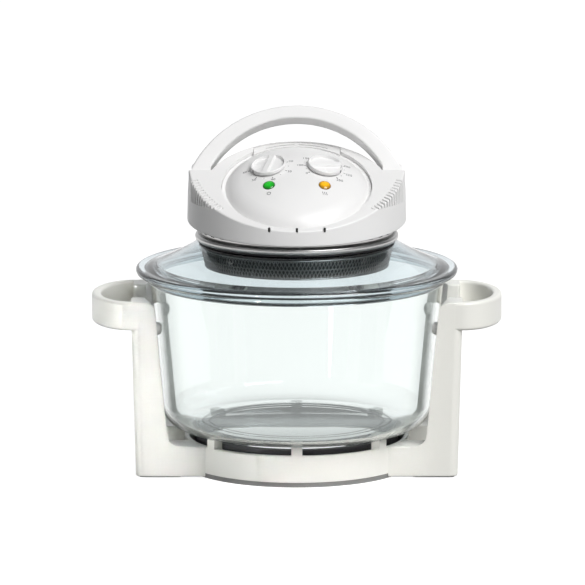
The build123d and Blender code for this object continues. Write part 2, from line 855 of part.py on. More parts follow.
with BuildPart() as motor_bracket:
    foot_top = plate_top + bracket_sheet
    outer_post = bracket_post + bracket_sheet
    with BuildSketch(Plane.YZ.offset(bracket_width / 2)):
        with BuildLine():
            Polyline(
                (-bracket_reach, plate_top),
                (-bracket_post, plate_top),
                (-bracket_post, bracket_top - bracket_sheet),
                (bracket_post, bracket_top - bracket_sheet),
                (bracket_post, plate_top),
                (bracket_reach, plate_top),
                (bracket_reach, foot_top),
                (outer_post, foot_top),
                (outer_post, bracket_top),
                (-outer_post, bracket_top),
                (-outer_post, foot_top),
                (-bracket_reach, foot_top),
                close=True,
            )
        make_face()
    extrude(amount=-bracket_width)
    with BuildSketch(Plane.XY.offset(bracket_top - 2 * bracket_sheet)):
        Circle(shaft_hole)
    extrude(amount=3 * bracket_sheet, mode=Mode.SUBTRACT)

with BuildPart() as fan_motor:
    with BuildSketch(Plane.XY.offset(bracket_top)):
        RectangleRounded(motor_size, motor_size, motor_corner)
    extrude(amount=motor_height)
    with BuildSketch(Plane.XY.offset(bracket_top + motor_end)):
        Circle(rotor_radius + rotor_gap)
    extrude(amount=motor_height - 2 * motor_end, mode=Mode.SUBTRACT)
    with BuildSketch(Plane.XY.offset(bracket_top - 1)):
        Circle(shaft_radius + running_gap)
    extrude(amount=motor_height + 2, mode=Mode.SUBTRACT)

with BuildPart() as motor_rotor:
    with BuildSketch(Plane.XY.offset(rotor_low)):
        Circle(rotor_radius)
        Circle(shaft_radius, mode=Mode.SUBTRACT)
    extrude(amount=rotor_length)


# ------------------------------------------------------------------ head housing
def head_block(inset):
    """The head as one block, shrunk by inset: a sloping drum, the turret behind it and a shelf."""
    reach = hub_radius + hub_gap + inset
    with BuildPart() as turret:
        for depth in (0, turret_depth):
            shrink = inset + depth * tan(radians(turret_draft))
            with BuildSketch(panel_plane.offset(-inset - depth)):
                Ellipse(turret_x - shrink, turret_s - shrink)
        loft()
        split(bisect_by=Plane.XZ.offset(-turret_front_y), keep=Keep.BOTTOM)
    with BuildPart() as block:
        with BuildSketch(Plane.XZ):
            with BuildLine():
                Polyline(
                    (0, drum_low_z),
                    (drum_bottom_r - inset, drum_low_z),
                    (drum_top_r - inset, drum_high_z),
                    (0, drum_high_z),
                    close=True,
                )
            make_face()
        revolve(axis=Axis.Z)
        split(bisect_by=panel_plane.offset(-inset), keep=Keep.BOTTOM)
        with BuildSketch(Plane.YZ):
            start = handle_plane.from_local_coords(Vector(0, 0, reach))
            end = handle_plane.from_local_coords(Vector(0, handle_outer_top, reach))
            shelf = pivot_z - reach
            behind = drum_bottom_r + 30
            with BuildLine():
                Polyline(
                    (pivot_y, pivot_z),
                    (start.Y, start.Z),
                    (end.Y, end.Z),
                    (behind, end.Z),
                    (behind, shelf),
                    (pivot_y, shelf),
                    close=True,
                )
            make_face()
            with Locations((pivot_y, pivot_z)):
                Circle(reach)
        extrude(amount=drum_bottom_r + 10, both=True, mode=Mode.SUBTRACT)
        add(turret.part)
        for side in (-1, 1):
            with BuildSketch(Plane.YZ.offset(side * (handle_inner_x - hub_side_gap - inset))):
                with Locations((pivot_y, pivot_z)):
                    Circle(reach)
            extrude(amount=side * 40, mode=Mode.SUBTRACT)
    return block.part


with BuildPart() as cavity:
    add(head_block(head_wall))
    with BuildSketch(panel_plane.offset(-opening_depth - head_wall + 0.2)):
        Circle(opening_radius + head_wall)
    extrude(amount=20, mode=Mode.SUBTRACT)

with BuildPart() as head_housing:
    add(head_block(0))
    split(bisect_by=skirt_plane, keep=Keep.TOP)
    # soft edges around the controls and along the bottom
    for soft_plane, radius in ((panel_plane, rim_round), (skirt_plane, skirt_round)):
        edges = head_housing.edges()
        fillet([edge for edge in edges if abs(soft_plane.to_local_coords(edge.center()).Z) < 0.01], radius)
    add(cavity.part, mode=Mode.SUBTRACT)
    # opening for the control panel, with a ledge under its flange
    with BuildSketch(panel_plane.offset(2)):
        Circle(opening_radius)
    extrude(amount=-opening_depth - 2, mode=Mode.SUBTRACT)
    with BuildSketch(panel_plane):
        Circle(ledge_radius)
    extrude(amount=-ledge_depth, mode=Mode.SUBTRACT)
    # notch in the rim for the rear vent cover
    with BuildSketch(panel_plane.offset(2)):
        Ellipse(turret_x - cover_rim, turret_s - cover_rim)
        with Locations((0, cover_middle)):
            Rectangle(2 * cover_reach + 1, cover_middle, mode=Mode.INTERSECT)
    extrude(amount=-notch_depth - 2, mode=Mode.SUBTRACT)
    # pivot bosses inside the turret walls
    for side in (-1, 1):
        with BuildSketch(Plane.YZ.offset(side * boss_face)):
            with Locations((pivot_y, pivot_z)):
                Circle(boss_r)
        extrude(amount=side * boss_length)
        with BuildSketch(Plane.YZ.offset(side * boss_face)):
            with Locations((pivot_y, pivot_z)):
                Circle(boss_nose_r)
        extrude(amount=side * (handle_inner_x - hub_side_gap - boss_face))
        with BuildSketch(Plane.YZ.offset(side * (boss_face - 1))):
            with Locations((pivot_y, pivot_z)):
                Circle(pin_radius + running_gap)
        extrude(amount=side * (handle_inner_x - boss_face + 1), mode=Mode.SUBTRACT)
        with BuildSketch(Plane.YZ.offset(side * (boss_face - cam_room))):
            with Locations((pivot_y, pivot_z)):
                Circle(cam_room_r)
        extrude(amount=side * cam_room, mode=Mode.SUBTRACT)
    # screw bosses down to the base plate
    for x, y, top in housing_bosses:
        with BuildSketch(Plane.XY.offset(plate_top)):
            with Locations((x, y), (-x, y)):
                Circle(housing_boss_r)
        extrude(amount=top - plate_top)
        with BuildSketch(Plane.XY.offset(plate_top)):
            with Locations((x, y), (-x, y)):
                Circle(housing_screw_hole)
        extrude(amount=housing_screw_hole_depth, mode=Mode.SUBTRACT)
    # comb of cooling slots on both shoulders
    with BuildSketch(Plane.XY.offset(comb_bottom)):
        for start in comb_starts:
            with PolarLocations(
                comb_r, comb_slots, start_angle=start, angular_range=comb_sweep, endpoint=True
            ):
                Rectangle(comb_slot_depth, comb_slot)
    extrude(amount=drum_high_z - comb_bottom, mode=Mode.SUBTRACT)
    # three slots at the front edge
    with BuildSketch(Plane.XZ.offset(front_slot_start)):
        with GridLocations(front_slot_spacing, 1, 3, 1):
            with Locations((0, front_slot_z)):
                SlotOverall(front_slot_length, front_slot_width, rotation=90)
    extrude(amount=12, mode=Mode.SUBTRACT)
    # warm air leaves at the back, on both sides of the cord
    with BuildSketch(Plane.XY.offset(exhaust_bottom)):
        for start in exhaust_starts:
            with PolarLocations(
                exhaust_r, exhaust_slots, start_angle=start, angular_range=exhaust_sweep, endpoint=True
            ):
                Rectangle(exhaust_slot_depth, exhaust_slot)
    extrude(amount=exhaust_height, mode=Mode.SUBTRACT)
    # hole for the cord gland
    with BuildSketch(Plane.XZ.offset(-gland_start - 1)):
        with Locations((0, gland_z)):
            Circle(gland_r + 0.05)
    extrude(amount=-gland_length, mode=Mode.SUBTRACT)

with BuildPart() as rear_vent_cover:
    with BuildSketch(panel_plane.offset(-cover_drop)):
        Ellipse(turret_x - cover_rim - 0.5, turret_s - cover_rim - 0.5)
        with Locations((0, cover_middle)):
            Rectangle(2 * cover_reach, cover_middle, mode=Mode.INTERSECT)
        Circle(cover_inner_r, mode=Mode.SUBTRACT)
    extrude(amount=-cover_sheet)
    # two long slots that follow the panel's edge
    with BuildSketch(panel_plane):
        Circle(cover_slot_r + cover_slot / 2)
        Circle(cover_slot_r - cover_slot / 2, mode=Mode.SUBTRACT)
        with Locations((0, cover_middle)):
            Rectangle(cover_slot_reach, cover_middle, mode=Mode.INTERSECT)
            Rectangle(cover_slot_bridge, cover_middle, mode=Mode.SUBTRACT)
    extrude(amount=-cover_drop - cover_sheet - 1, mode=Mode.SUBTRACT)

with BuildPart() as control_panel:
    inner_radius = dome_radius - panel_wall
    inner_edge = dome_edge * inner_radius / dome_radius
    flange_top = -groove_depth
    flange_bottom = -groove_depth - panel_flange
    dome_edge_height = sqrt(dome_radius**2 - dome_edge**2) - dome_drop
    inner_edge_height = sqrt(inner_radius**2 - inner_edge**2) - dome_drop
    with BuildSketch(panel_section):
        with BuildLine():
            dome = RadiusArc((0, dome_radius - dome_drop), (dome_edge, dome_edge_height), dome_radius)
            TangentArc(dome @ 1, (panel_roll_r, flange_top), tangent=dome % 1)
            Polyline(
                (panel_roll_r, flange_top),
                (panel_radius, flange_top),
                (panel_radius, flange_bottom),
                (panel_inner_roll_r, flange_bottom),
            )
            under = RadiusArc((0, inner_radius - dome_drop), (inner_edge, inner_edge_height), inner_radius)
            TangentArc(under @ 1, (panel_inner_roll_r, flange_bottom), tangent=under % 1)
            Line((0, inner_radius - dome_drop), (0, dome_radius - dome_drop))
        make_face()
    revolve(axis=Axis(panel_plane.origin, panel_plane.z_dir))
    with BuildSketch(panel_plane.offset(-2)):
        with Locations((0, lens_s)):
            Circle(panel_post_r)
    extrude(amount=panel_post)
    for side in (-1, 1):
        with BuildSketch(dome_plane(side * knob_x, knob_s).offset(-6)):
            Circle(shaft_radius + 0.5)
        extrude(amount=10, mode=Mode.SUBTRACT)
        with BuildSketch(dome_plane(side * lens_x, lens_s).offset(-6)):
            Circle(lens_radius + 0.1)
        extrude(amount=10, mode=Mode.SUBTRACT)


# ------------------------------------------------------------------ controls
def lens(side):
    """A domed indicator lens, pushed through the panel from behind."""
    place = dome_plane(side * lens_x, lens_s)
    with BuildPart() as cap:
        with BuildSketch(place.offset(-lens_sink)):
            Circle(lens_radius)
        extrude(amount=lens_sink + lens_rise)
        outward = Axis(place.origin, place.z_dir)
        fillet(cap.edges().filter_by(GeomType.CIRCLE).sort_by(outward)[-1], lens_round)
        with BuildSketch(place.offset(-lens_sink - lens_flange_sheet)):
            Circle(lens_radius + lens_flange)
        extrude(amount=lens_flange_sheet)
        with BuildSketch(place.offset(-lens_sink - lens_flange_sheet)):
            Circle(lens_radius - lens_wall)
        extrude(amount=lens_hollow, mode=Mode.SUBTRACT)
    return cap.part


with BuildPart() as power_lens:
    add(lens(-1))

with BuildPart() as heat_lens:
    add(lens(1))

with BuildPart() as indicator_board:
    with BuildSketch(panel_plane.offset(-indicator_depth)):
        with Locations((0, lens_s)):
            Rectangle(indicator_length, indicator_width)
    extrude(amount=indicator_sheet)
    with BuildSketch(panel_plane.offset(indicator_sheet - indicator_depth)):
        with Locations((-indicator_x, lens_s + 1), (indicator_x, lens_s + 1)):
            Circle(indicator_lamp_r)
    extrude(amount=indicator_lamp)


def control_body(side):
    """The works behind a knob: a box under the panel with a threaded bush towards the knob."""
    place = dome_plane(side * knob_x, knob_s)
    with BuildPart() as works:
        with BuildSketch(place.offset(-works_depth)):
            RectangleRounded(works_size, works_size, 2)
        extrude(amount=works_depth - works_top)
        with BuildSketch(place.offset(-works_top)):
            Circle(works_bush_r)
        extrude(amount=works_bush)
        with BuildSketch(place.offset(-shaft_start - 0.5)):
            Circle(shaft_radius + running_gap)
        extrude(amount=shaft_start, mode=Mode.SUBTRACT)
    return works.part


def control_shaft(side):
    """The spindle from the works up into the knob."""
    with BuildPart() as spindle:
        with BuildSketch(dome_plane(side * knob_x, knob_s).offset(-shaft_start)):
            Circle(shaft_radius)
        extrude(amount=shaft_start + knob_lift + knob_bore - 0.1)
    return spindle.part


def knob(side, bar_angle):
    """A low round knob with a pocket on each side of a finger bar."""
    place = dome_plane(side * knob_x, knob_s)
    up = Axis(place.origin, place.z_dir)
    with BuildPart() as cap:
        with BuildSketch(place.offset(knob_lift)):
            Circle(knob_radius)
        extrude(amount=knob_height, taper=knob_taper)
        fillet(cap.edges().filter_by(GeomType.CIRCLE).sort_by(up)[-1], knob_round)
        with BuildSketch(place.offset(knob_lift + knob_floor)) as pockets:
            Circle(knob_radius - pocket_rim)
            Rectangle(knob_bar, 2 * knob_radius, rotation=bar_angle, mode=Mode.SUBTRACT)
            fillet(pockets.vertices(), pocket_round)
        extrude(amount=knob_height, mode=Mode.SUBTRACT)
        with BuildSketch(place.offset(knob_lift)):
            Circle(shaft_radius)
        extrude(amount=knob_bore, mode=Mode.SUBTRACT)
    return cap.part


with BuildPart() as timer_body:
    add(control_body(-1))

with BuildPart() as thermostat_body:
    add(control_body(1))

with BuildPart() as timer_shaft:
    add(control_shaft(-1))

with BuildPart() as thermostat_shaft:
    add(control_shaft(1))

with BuildPart() as timer_knob:
    add(knob(-1, timer_bar_angle))

with BuildPart() as thermostat_knob:
    add(knob(1, thermostat_bar_angle))

# ------------------------------------------------------------------ carry handle
with BuildPart() as carry_handle:
    outer_join = handle_outer_top - handle_outer_arc + sqrt(handle_outer_arc**2 - handle_outer_x**2)
    inner_join = handle_inner_top - handle_inner_arc + sqrt(handle_inner_arc**2 - handle_inner_x**2)
    with BuildSketch(handle_plane.offset(-handle_depth / 2)):
        with BuildLine():
            right_arm = Line((handle_outer_x, 0), (handle_outer_x, outer_join))
            left_arm = Polyline(
                (-handle_outer_x, outer_join),
                (-handle_outer_x, 0),
                (-handle_inner_x, 0),
                (-handle_inner_x, inner_join),
            )
            ThreePointArc(right_arm @ 1, (0, handle_outer_top), left_arm @ 0)
            ThreePointArc(left_arm @ 1, (0, handle_inner_top), (handle_inner_x, inner_join))
            Polyline((handle_inner_x, inner_join), (handle_inner_x, 0), (handle_outer_x, 0))
        make_face()
    extrude(amount=handle_depth)
    fillet(carry_handle.edges().filter_by(GeomType.CIRCLE), handle_round)
    for side in (-1, 1):
        with BuildSketch(Plane.YZ.offset(side * handle_inner_x)):
            with Locations((pivot_y, pivot_z)):
                Circle(hub_radius)
        extrude(amount=side * (handle_outer_x - handle_inner_x))
        with BuildSketch(Plane.YZ.offset(side * (handle_inner_x - 1))):
            with Locations((pivot_y, pivot_z)):
                Circle(pin_radius)
        extrude(amount=side * (pin_grip + 1), mode=Mode.SUBTRACT)

with BuildPart() as pivot_pins:
    for side in (-1, 1):
        with BuildSketch(Plane.YZ.offset(side * pin_start)):
            with Locations((pivot_y, pivot_z)):
                Circle(pin_radius)
        extrude(amount=side * (handle_inner_x + pin_grip - pin_start))

with BuildPart() as switch_cam:
    with BuildSketch(Plane((cam_face, pivot_y, pivot_z), x_dir=(0, 1, 0), z_dir=(1, 0, 0))):
        with BuildLine():
            lift_rate = cam_lift / radians(handle_travel)
            turns = [radians(angle) for angle in range(-20, 91, 10)]
            radii = [cam_radius + lift_rate * turn for turn in turns]
            spiral = Spline([(r * sin(turn), -r * cos(turn)) for r, turn in zip(radii, turns)])
            Polyline(spiral @ 1, (0, 0), spiral @ 0)
        make_face()
        Circle(cam_hub_r)
        Circle(pin_radius, mode=Mode.SUBTRACT)
    extrude(amount=-cam_width)

plunger_top = pivot_z - cam_radius - clearance

with BuildPart() as switch_plunger:
    with BuildSketch(Plane.XY.offset(plunger_top - plunger_length)):
        with Locations((switch_x, pivot_y)):
            Circle(plunger_r)
    extrude(amount=plunger_length)
    fillet(switch_plunger.edges().group_by(Axis.Z)[-1], plunger_round)

with BuildPart() as microswitch:
    with BuildSketch(Plane.XY.offset(switch_low)):
        with Locations((switch_x, pivot_y)):
            Rectangle(switch_width, switch_length)
    extrude(amount=plunger_top - switch_drop - switch_low)
    with BuildSketch(Plane.XY.offset(plunger_top - plunger_length - switch_drop)):
        with Locations((switch_x, pivot_y)):
            Circle(plunger_r + running_gap)
    extrude(amount=plunger_length + 2, mode=Mode.SUBTRACT)

with BuildPart() as switch_bracket:
    web_x = switch_x + switch_width / 2
    foot_x = web_x + bracket_foot
    with BuildSketch(Plane.XZ.offset(-pivot_y + switch_length / 2)):
        with BuildLine():
            Polyline(
                (web_x, switch_bracket_top),
                (web_x, plate_top),
                (foot_x, plate_top),
                (foot_x, plate_top + switch_bracket_sheet),
                (web_x + switch_bracket_sheet, plate_top + switch_bracket_sheet),
                (web_x + switch_bracket_sheet, switch_bracket_top),
                close=True,
            )
        make_face()
    extrude(amount=-switch_length)

# ------------------------------------------------------------------ cord entry and screws
with BuildPart() as cord_gland:
    with BuildSketch(Plane.XZ.offset(-gland_start)):
        with Locations((0, gland_z)):
            Circle(gland_r)
    extrude(amount=-gland_length)
    with BuildSketch(Plane.XZ.offset(-gland_start - gland_length)):
        with Locations((0, gland_z)):
            Circle(gland_flange_r)
    extrude(amount=gland_flange)
    fillet(cord_gland.edges().group_by(Axis.Y)[-1], gland_round)
    with BuildSketch(Plane.XZ.offset(-gland_start + 1)):
        with Locations((0, gland_z)):
            Circle(gland_bore)
    extrude(amount=-gland_length - 2, mode=Mode.SUBTRACT)

with BuildPart() as terminal_block:
    with BuildSketch(Plane.XY.offset(plate_top)):
        with Locations((0, terminal_y)):
            Rectangle(terminal_length, terminal_width)
    extrude(amount=terminal_height)
    with BuildSketch(Plane.XY.offset(plate_top + terminal_height / 2)):
        with Locations((0, terminal_y)):
            with GridLocations(terminal_pitch, 1, 3, 1):
                Circle(terminal_hole)
    extrude(amount=terminal_height, mode=Mode.SUBTRACT)

with BuildPart() as housing_screws:
    for x, y, _ in housing_bosses:
        with BuildSketch(Plane.XY.offset(clamp_top - housing_screw_head)):
            with Locations((x, y), (-x, y)):
                Circle(housing_screw_head_r)
        extrude(amount=housing_screw_head)
        with BuildSketch(Plane.XY.offset(clamp_top)):
            with Locations((x, y), (-x, y)):
                Circle(housing_screw_hole - 0.05)
        extrude(amount=housing_screw_length)

# ------------------------------------------------------------------ files
pieces = {
    "foot_ring": foot_ring,
    "base_ring": base_ring,
    "heat_shield_ring": heat_shield_ring,
    "right_frame": right_frame,
    "left_frame": left_frame,
    "frame_screws": frame_screws,
    "bumper_pegs": bumper_pegs,
    "rubber_pads": rubber_pads,
    "glass_bowl": glass_bowl,
    "glass_lid": glass_lid,
    "lid_seal": lid_seal,
    "clamp_ring": clamp_ring,
    "vent_collar": vent_collar,
    "lamp_guard": lamp_guard,
    "reflector": reflector,
    "insulation_board": insulation_board,
    "base_plate": base_plate,
    "guard_screws": guard_screws,
    "halogen_tube": halogen_tube,
    "filament": filament,
    "lamp_caps": lamp_caps,
    "lamp_clips": lamp_clips,
    "thermostat_bulb": thermostat_bulb,
    "hot_air_fan": hot_air_fan,
    "fan_nut": fan_nut,
    "motor_shaft": motor_shaft,
    "cooling_fan": cooling_fan,
    "motor_bracket": motor_bracket,
    "fan_motor": fan_motor,
    "motor_rotor": motor_rotor,
    "head_housing": head_housing,
    "rear_vent_cover": rear_vent_cover,
    "control_panel": control_panel,
    "power_lens": power_lens,
    "heat_lens": heat_lens,
    "indicator_board": indicator_board,
    "timer_body": timer_body,
    "thermostat_body": thermostat_body,
    "timer_shaft": timer_shaft,
    "thermostat_shaft": thermostat_shaft,
    "timer_knob": timer_knob,
    "thermostat_knob": thermostat_knob,
    "carry_handle": carry_handle,
    "pivot_pins": pivot_pins,
    "switch_cam": switch_cam,
    "switch_plunger": switch_plunger,
    "microswitch": microswitch,
    "switch_bracket": switch_bracket,
    "cord_gland": cord_gland,
    "terminal_block": terminal_block,
    "housing_screws": housing_screws,
}
os.makedirs("parts", exist_ok=True)
for name, piece in pieces.items():
    piece.part.label = name
    export_step(piece.part, f"parts/{name}.step")
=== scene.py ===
"""Halogen oven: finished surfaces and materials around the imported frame, laid out as an add-on.

Metres, +Z up, the controls face -Y. Every shape is given in millimetres and brought to metres by MM.
"""

import math

import bmesh
import bpy
import numpy as np
from bpy.props import FloatProperty, FloatVectorProperty, IntProperty, PointerProperty
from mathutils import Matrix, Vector


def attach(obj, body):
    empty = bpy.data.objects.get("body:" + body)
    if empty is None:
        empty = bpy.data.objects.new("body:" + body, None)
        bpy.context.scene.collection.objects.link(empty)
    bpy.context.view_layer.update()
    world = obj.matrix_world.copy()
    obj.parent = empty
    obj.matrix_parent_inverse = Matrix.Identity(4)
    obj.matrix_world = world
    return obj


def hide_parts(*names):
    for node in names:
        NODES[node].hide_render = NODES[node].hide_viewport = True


bl_info = {
    "name": "Halogen oven",
    "version": (1, 0, 0),
    "blender": (4, 5, 0),
    "location": "View3D > Sidebar > Oven",
    "description": "Builds the glass, plastics, metals and stage of a table-top halogen oven",
    "category": "Object",
}

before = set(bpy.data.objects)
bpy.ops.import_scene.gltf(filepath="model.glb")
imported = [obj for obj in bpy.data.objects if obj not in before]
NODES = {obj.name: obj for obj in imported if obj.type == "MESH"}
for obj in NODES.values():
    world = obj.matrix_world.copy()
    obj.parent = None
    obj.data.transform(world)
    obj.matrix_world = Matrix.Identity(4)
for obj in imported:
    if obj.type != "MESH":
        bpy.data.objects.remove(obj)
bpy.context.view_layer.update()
MM = 0.001

# ------------------------------------------------------------------ places shared by several pieces (mm)
PANEL_TILT = math.radians(25.0)
PANEL_CENTRE = np.array([0.0, -37.0, 291.75])
PANEL_X = np.array([1.0, 0.0, 0.0])
PANEL_UP = np.array([0.0, math.cos(PANEL_TILT), math.sin(PANEL_TILT)])
PANEL_OUT = np.array([0.0, -math.sin(PANEL_TILT), math.cos(PANEL_TILT)])
DOME_RADIUS = 165.0
DOME_DROP = 147.5
KNOB_X, KNOB_S = 28.0, 11.5
LENS_X, LENS_S = 27.8, -19.5
SEAM = 1e-4                          # points closer than this are one point


# ------------------------------------------------------------------ mesh helpers
def put_mesh(name, points, faces, crease=40.0):
    """A new object at the origin from points (mm) and faces, shaded smooth up to the crease angle."""
    mesh = bpy.data.meshes.new(name)
    mesh.from_pydata((np.asarray(points, float) * MM).tolist(), [], faces)
    mesh.validate()
    mesh.shade_smooth()
    mesh.set_sharp_from_angle(angle=math.radians(crease))
    piece = bpy.data.objects.new(name, mesh)
    bpy.context.scene.collection.objects.link(piece)
    return piece


def clean(piece):
    """Merges points that meet, so that seams and poles close, and turns every face outwards."""
    work = bmesh.new()
    work.from_mesh(piece.data)
    bmesh.ops.remove_doubles(work, verts=work.verts, dist=SEAM * MM)
    bmesh.ops.dissolve_degenerate(work, edges=work.edges, dist=SEAM * MM)
    bmesh.ops.recalc_face_normals(work, faces=work.faces)
    work.to_mesh(piece.data)
    work.free()
    return piece


def quads(rows, columns, wrap_rows=False, wrap_columns=False):
    """Faces of a grid of rows x columns points, each face naming its four corners."""
    row = np.arange(rows if wrap_rows else rows - 1)
    column = np.arange(columns if wrap_columns else columns - 1)
    i, j = np.meshgrid(row, column, indexing="ij")
    i2, j2 = (i + 1) % rows, (j + 1) % columns
    corners = [i * columns + j, i * columns + j2, i2 * columns + j2, i2 * columns + j]
    return np.stack(corners, -1).reshape(-1, 4)


def arc(start, through, end, steps=12):
    """Points on the circle through three points, from start to end."""
    (ax, ay), (bx, by), (cx, cy) = start, through, end
    d = 2 * (ax * (by - cy) + bx * (cy - ay) + cx * (ay - by))
    ux = ((ax**2 + ay**2) * (by - cy) + (bx**2 + by**2) * (cy - ay) + (cx**2 + cy**2) * (ay - by)) / d
    uy = ((ax**2 + ay**2) * (cx - bx) + (bx**2 + by**2) * (ax - cx) + (cx**2 + cy**2) * (bx - ax)) / d
    a0, a1, a2 = (math.atan2(y - uy, x - ux) for x, y in (start, through, end))
    turn = (a2 - a0) % (2 * math.pi)
    if (a1 - a0) % (2 * math.pi) > turn:
        turn -= 2 * math.pi
    a = a0 + np.linspace(0, 1, steps) * turn
    r = math.hypot(ax - ux, ay - uy)
    return np.stack([ux + r * np.cos(a), uy + r * np.sin(a)], -1)


def rounded(corners, steps=7):
    """A closed outline from (x, y, radius) corners: each corner is an arc tangent to both of its sides."""
    parts = []
    count = len(corners)
    for k in range(count):
        corner = np.array(corners[k][:2], float)
        radius = corners[k][2]
        if radius == 0:
            parts.append(corner[None])
            continue
        to_last = np.array(corners[k - 1][:2], float) - corner
        to_next = np.array(corners[(k + 1) % count][:2], float) - corner
        to_last /= np.linalg.norm(to_last)
        to_next /= np.linalg.norm(to_next)
        half = math.acos(np.clip(to_last @ to_next, -1, 1)) / 2
        reach = radius / math.tan(half)
        middle = to_last + to_next
        centre = corner + middle / np.linalg.norm(middle) * radius / math.sin(half)
        nearest = centre - middle / np.linalg.norm(middle) * radius
        parts.append(arc(corner + to_last * reach, nearest, corner + to_next * reach, steps))
    return np.concatenate(parts)


def turned(name, outline, steps=240, closed=True, crease=40.0):
    """A turned piece: the outline point (r, z) goes to (r cos a, r sin a, z) as a runs round the axis."""
    a = np.linspace(0, 2 * math.pi, steps, endpoint=False)
    r, z = np.asarray(outline, float).T
    points = np.stack(np.broadcast_arrays(np.outer(r, np.cos(a)), np.outer(r, np.sin(a)), z[:, None]), -1)
    faces = quads(len(r), steps, wrap_rows=closed, wrap_columns=True)
    piece = clean(put_mesh(name, points.reshape(-1, 3), faces.tolist(), crease))
    piece.data.set_sharp_from_angle(angle=math.radians(crease))
    return piece


def wires(paths, normals, radius, sides=4):
    """Round wires along many paths at once.

    paths and normals are (wires, steps, 3) arrays. Each path point carries a circle of the given radius in
    the plane of its normal and of the cross product of its direction and normal, and a cap closes each end.
    """
    along = np.gradient(paths, axis=1)
    along /= np.linalg.norm(along, axis=2, keepdims=True)
    across = np.cross(along, normals)
    across /= np.linalg.norm(across, axis=2, keepdims=True)
    upright = np.cross(across, along)
    a = (np.arange(sides) + 0.5) * 2 * math.pi / sides
    ring = np.cos(a)[:, None] * across[:, :, None, :] + np.sin(a)[:, None] * upright[:, :, None, :]
    points = paths[:, :, None, :] + radius * ring
    count, steps = paths.shape[:2]
    shift = (np.arange(count) * steps * sides)[:, None, None]
    tube = quads(steps, sides, wrap_columns=True)[None] + shift
    caps = np.stack([np.arange(sides)[::-1], np.arange(sides) + (steps - 1) * sides])[None] + shift
    faces = tube.reshape(-1, 4).tolist() + caps.reshape(-1, sides).tolist()
    return points.reshape(-1, 3), faces


def gather(name, parts, crease=40.0):
    """One object from several (points, faces) pairs."""
    points, faces, start = [], [], 0
    for part_points, part_faces in parts:
        points.append(np.asarray(part_points).reshape(-1, 3))
        faces += [[corner + start for corner in face] for face in part_faces]
        start += len(points[-1])
    return put_mesh(name, np.concatenate(points), faces, crease)


def hoop(radius, height, wire, steps=180, sides=8):
    """A ring of round wire: a circle of the wire's radius is carried round a circle."""
    a, b = np.meshgrid(
        np.linspace(0, 2 * math.pi, steps, endpoint=False),
        np.linspace(0, 2 * math.pi, sides, endpoint=False),
        indexing="ij",
    )
    r = radius + wire * np.cos(b)
    points = np.stack([r * np.cos(a), r * np.sin(a), height + wire * np.sin(b)], -1)
    return points.reshape(-1, 3), quads(steps, sides, True, True)[:, ::-1].tolist()


def on_dome(x, s, lift=0.0):
    """The point of the panel's dome over (x to the right, s uphill), raised by lift square to the panel."""
    height = np.sqrt(DOME_RADIUS**2 - x**2 - s**2) - DOME_DROP + lift
    return PANEL_CENTRE + x[..., None] * PANEL_X + s[..., None] * PANEL_UP + height[..., None] * PANEL_OUT


def dome_axes(x, s):
    """Origin and axes (right, uphill, out) of the plane that touches the dome at (x, s)."""
    origin = on_dome(np.array(x), np.array(s))
    centre = PANEL_CENTRE - DOME_DROP * PANEL_OUT
    out = (origin - centre) / np.linalg.norm(origin - centre)
    right = np.cross(PANEL_UP, out)
    right /= np.linalg.norm(right)
    return origin, np.stack([right, np.cross(out, right), out])


def place(piece, body, slot, *nodes):
    """Fixes a piece to a body and hides the CAD nodes that it stands for; slot is not used."""
    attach(piece, body)
    if nodes:
        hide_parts(*nodes)
    return piece


def coat(piece, material):
    """Gives a piece this one material."""
    piece.data.materials.clear()
    piece.data.materials.append(material)


# ------------------------------------------------------------------ material helpers
def new_material(name, colour, **sockets):
    """A material whose Principled shader has these constant values on its own sockets."""
    made = bpy.data.materials.new(name)
    made.use_nodes = True
    shader = made.node_tree.nodes["Principled BSDF"]
    shader.inputs["Base Color"].default_value = (*colour, 1.0)
    for socket, value in sockets.items():
        shader.inputs[socket.replace("_", " ")].default_value = value
    return made


def link(made, output, node, socket):
    made.node_tree.links.new(output, node.inputs[socket])


def shader_of(made):
    return made.node_tree.nodes["Principled BSDF"]


def places(made, stretch=(1.0, 1.0, 1.0), centre=(0.0, 0.0, 0.0)):
    """Object coordinates, centred and stretched."""
    tree = made.node_tree
    mapping = tree.nodes.new("ShaderNodeMapping")
    mapping.inputs["Location"].default_value = [-c * s for c, s in zip(centre, stretch)]
    mapping.inputs["Scale"].default_value = stretch
    tree.links.new(tree.nodes.new("ShaderNodeTexCoord").outputs["Object"], mapping.inputs["Vector"])
    return mapping.outputs["Vector"]


def turned_places(made):
    """(radius, height, a little of x) about the oven's axis, for marks that run round a turned piece."""
    tree = made.node_tree
    where = tree.nodes.new("ShaderNodeTexCoord").outputs["Object"]
    flat = tree.nodes.new("ShaderNodeVectorMath")
    flat.operation = "MULTIPLY"
    flat.inputs[1].default_value = (1, 1, 0)
    tree.links.new(where, flat.inputs[0])
    radius = tree.nodes.new("ShaderNodeVectorMath")
    radius.operation = "LENGTH"
    tree.links.new(flat.outputs[0], radius.inputs[0])
    split = tree.nodes.new("ShaderNodeSeparateXYZ")
    tree.links.new(where, split.inputs[0])
    join = tree.nodes.new("ShaderNodeCombineXYZ")
    tree.links.new(radius.outputs["Value"], join.inputs[0])
    tree.links.new(split.outputs[2], join.inputs[1])
    slow = tree.nodes.new("ShaderNodeMath")
    slow.operation = "MULTIPLY"
    slow.inputs[1].default_value = 0.01
    tree.links.new(split.outputs[0], slow.inputs[0])
    tree.links.new(slow.outputs[0], join.inputs[2])
    return join.outputs[0]


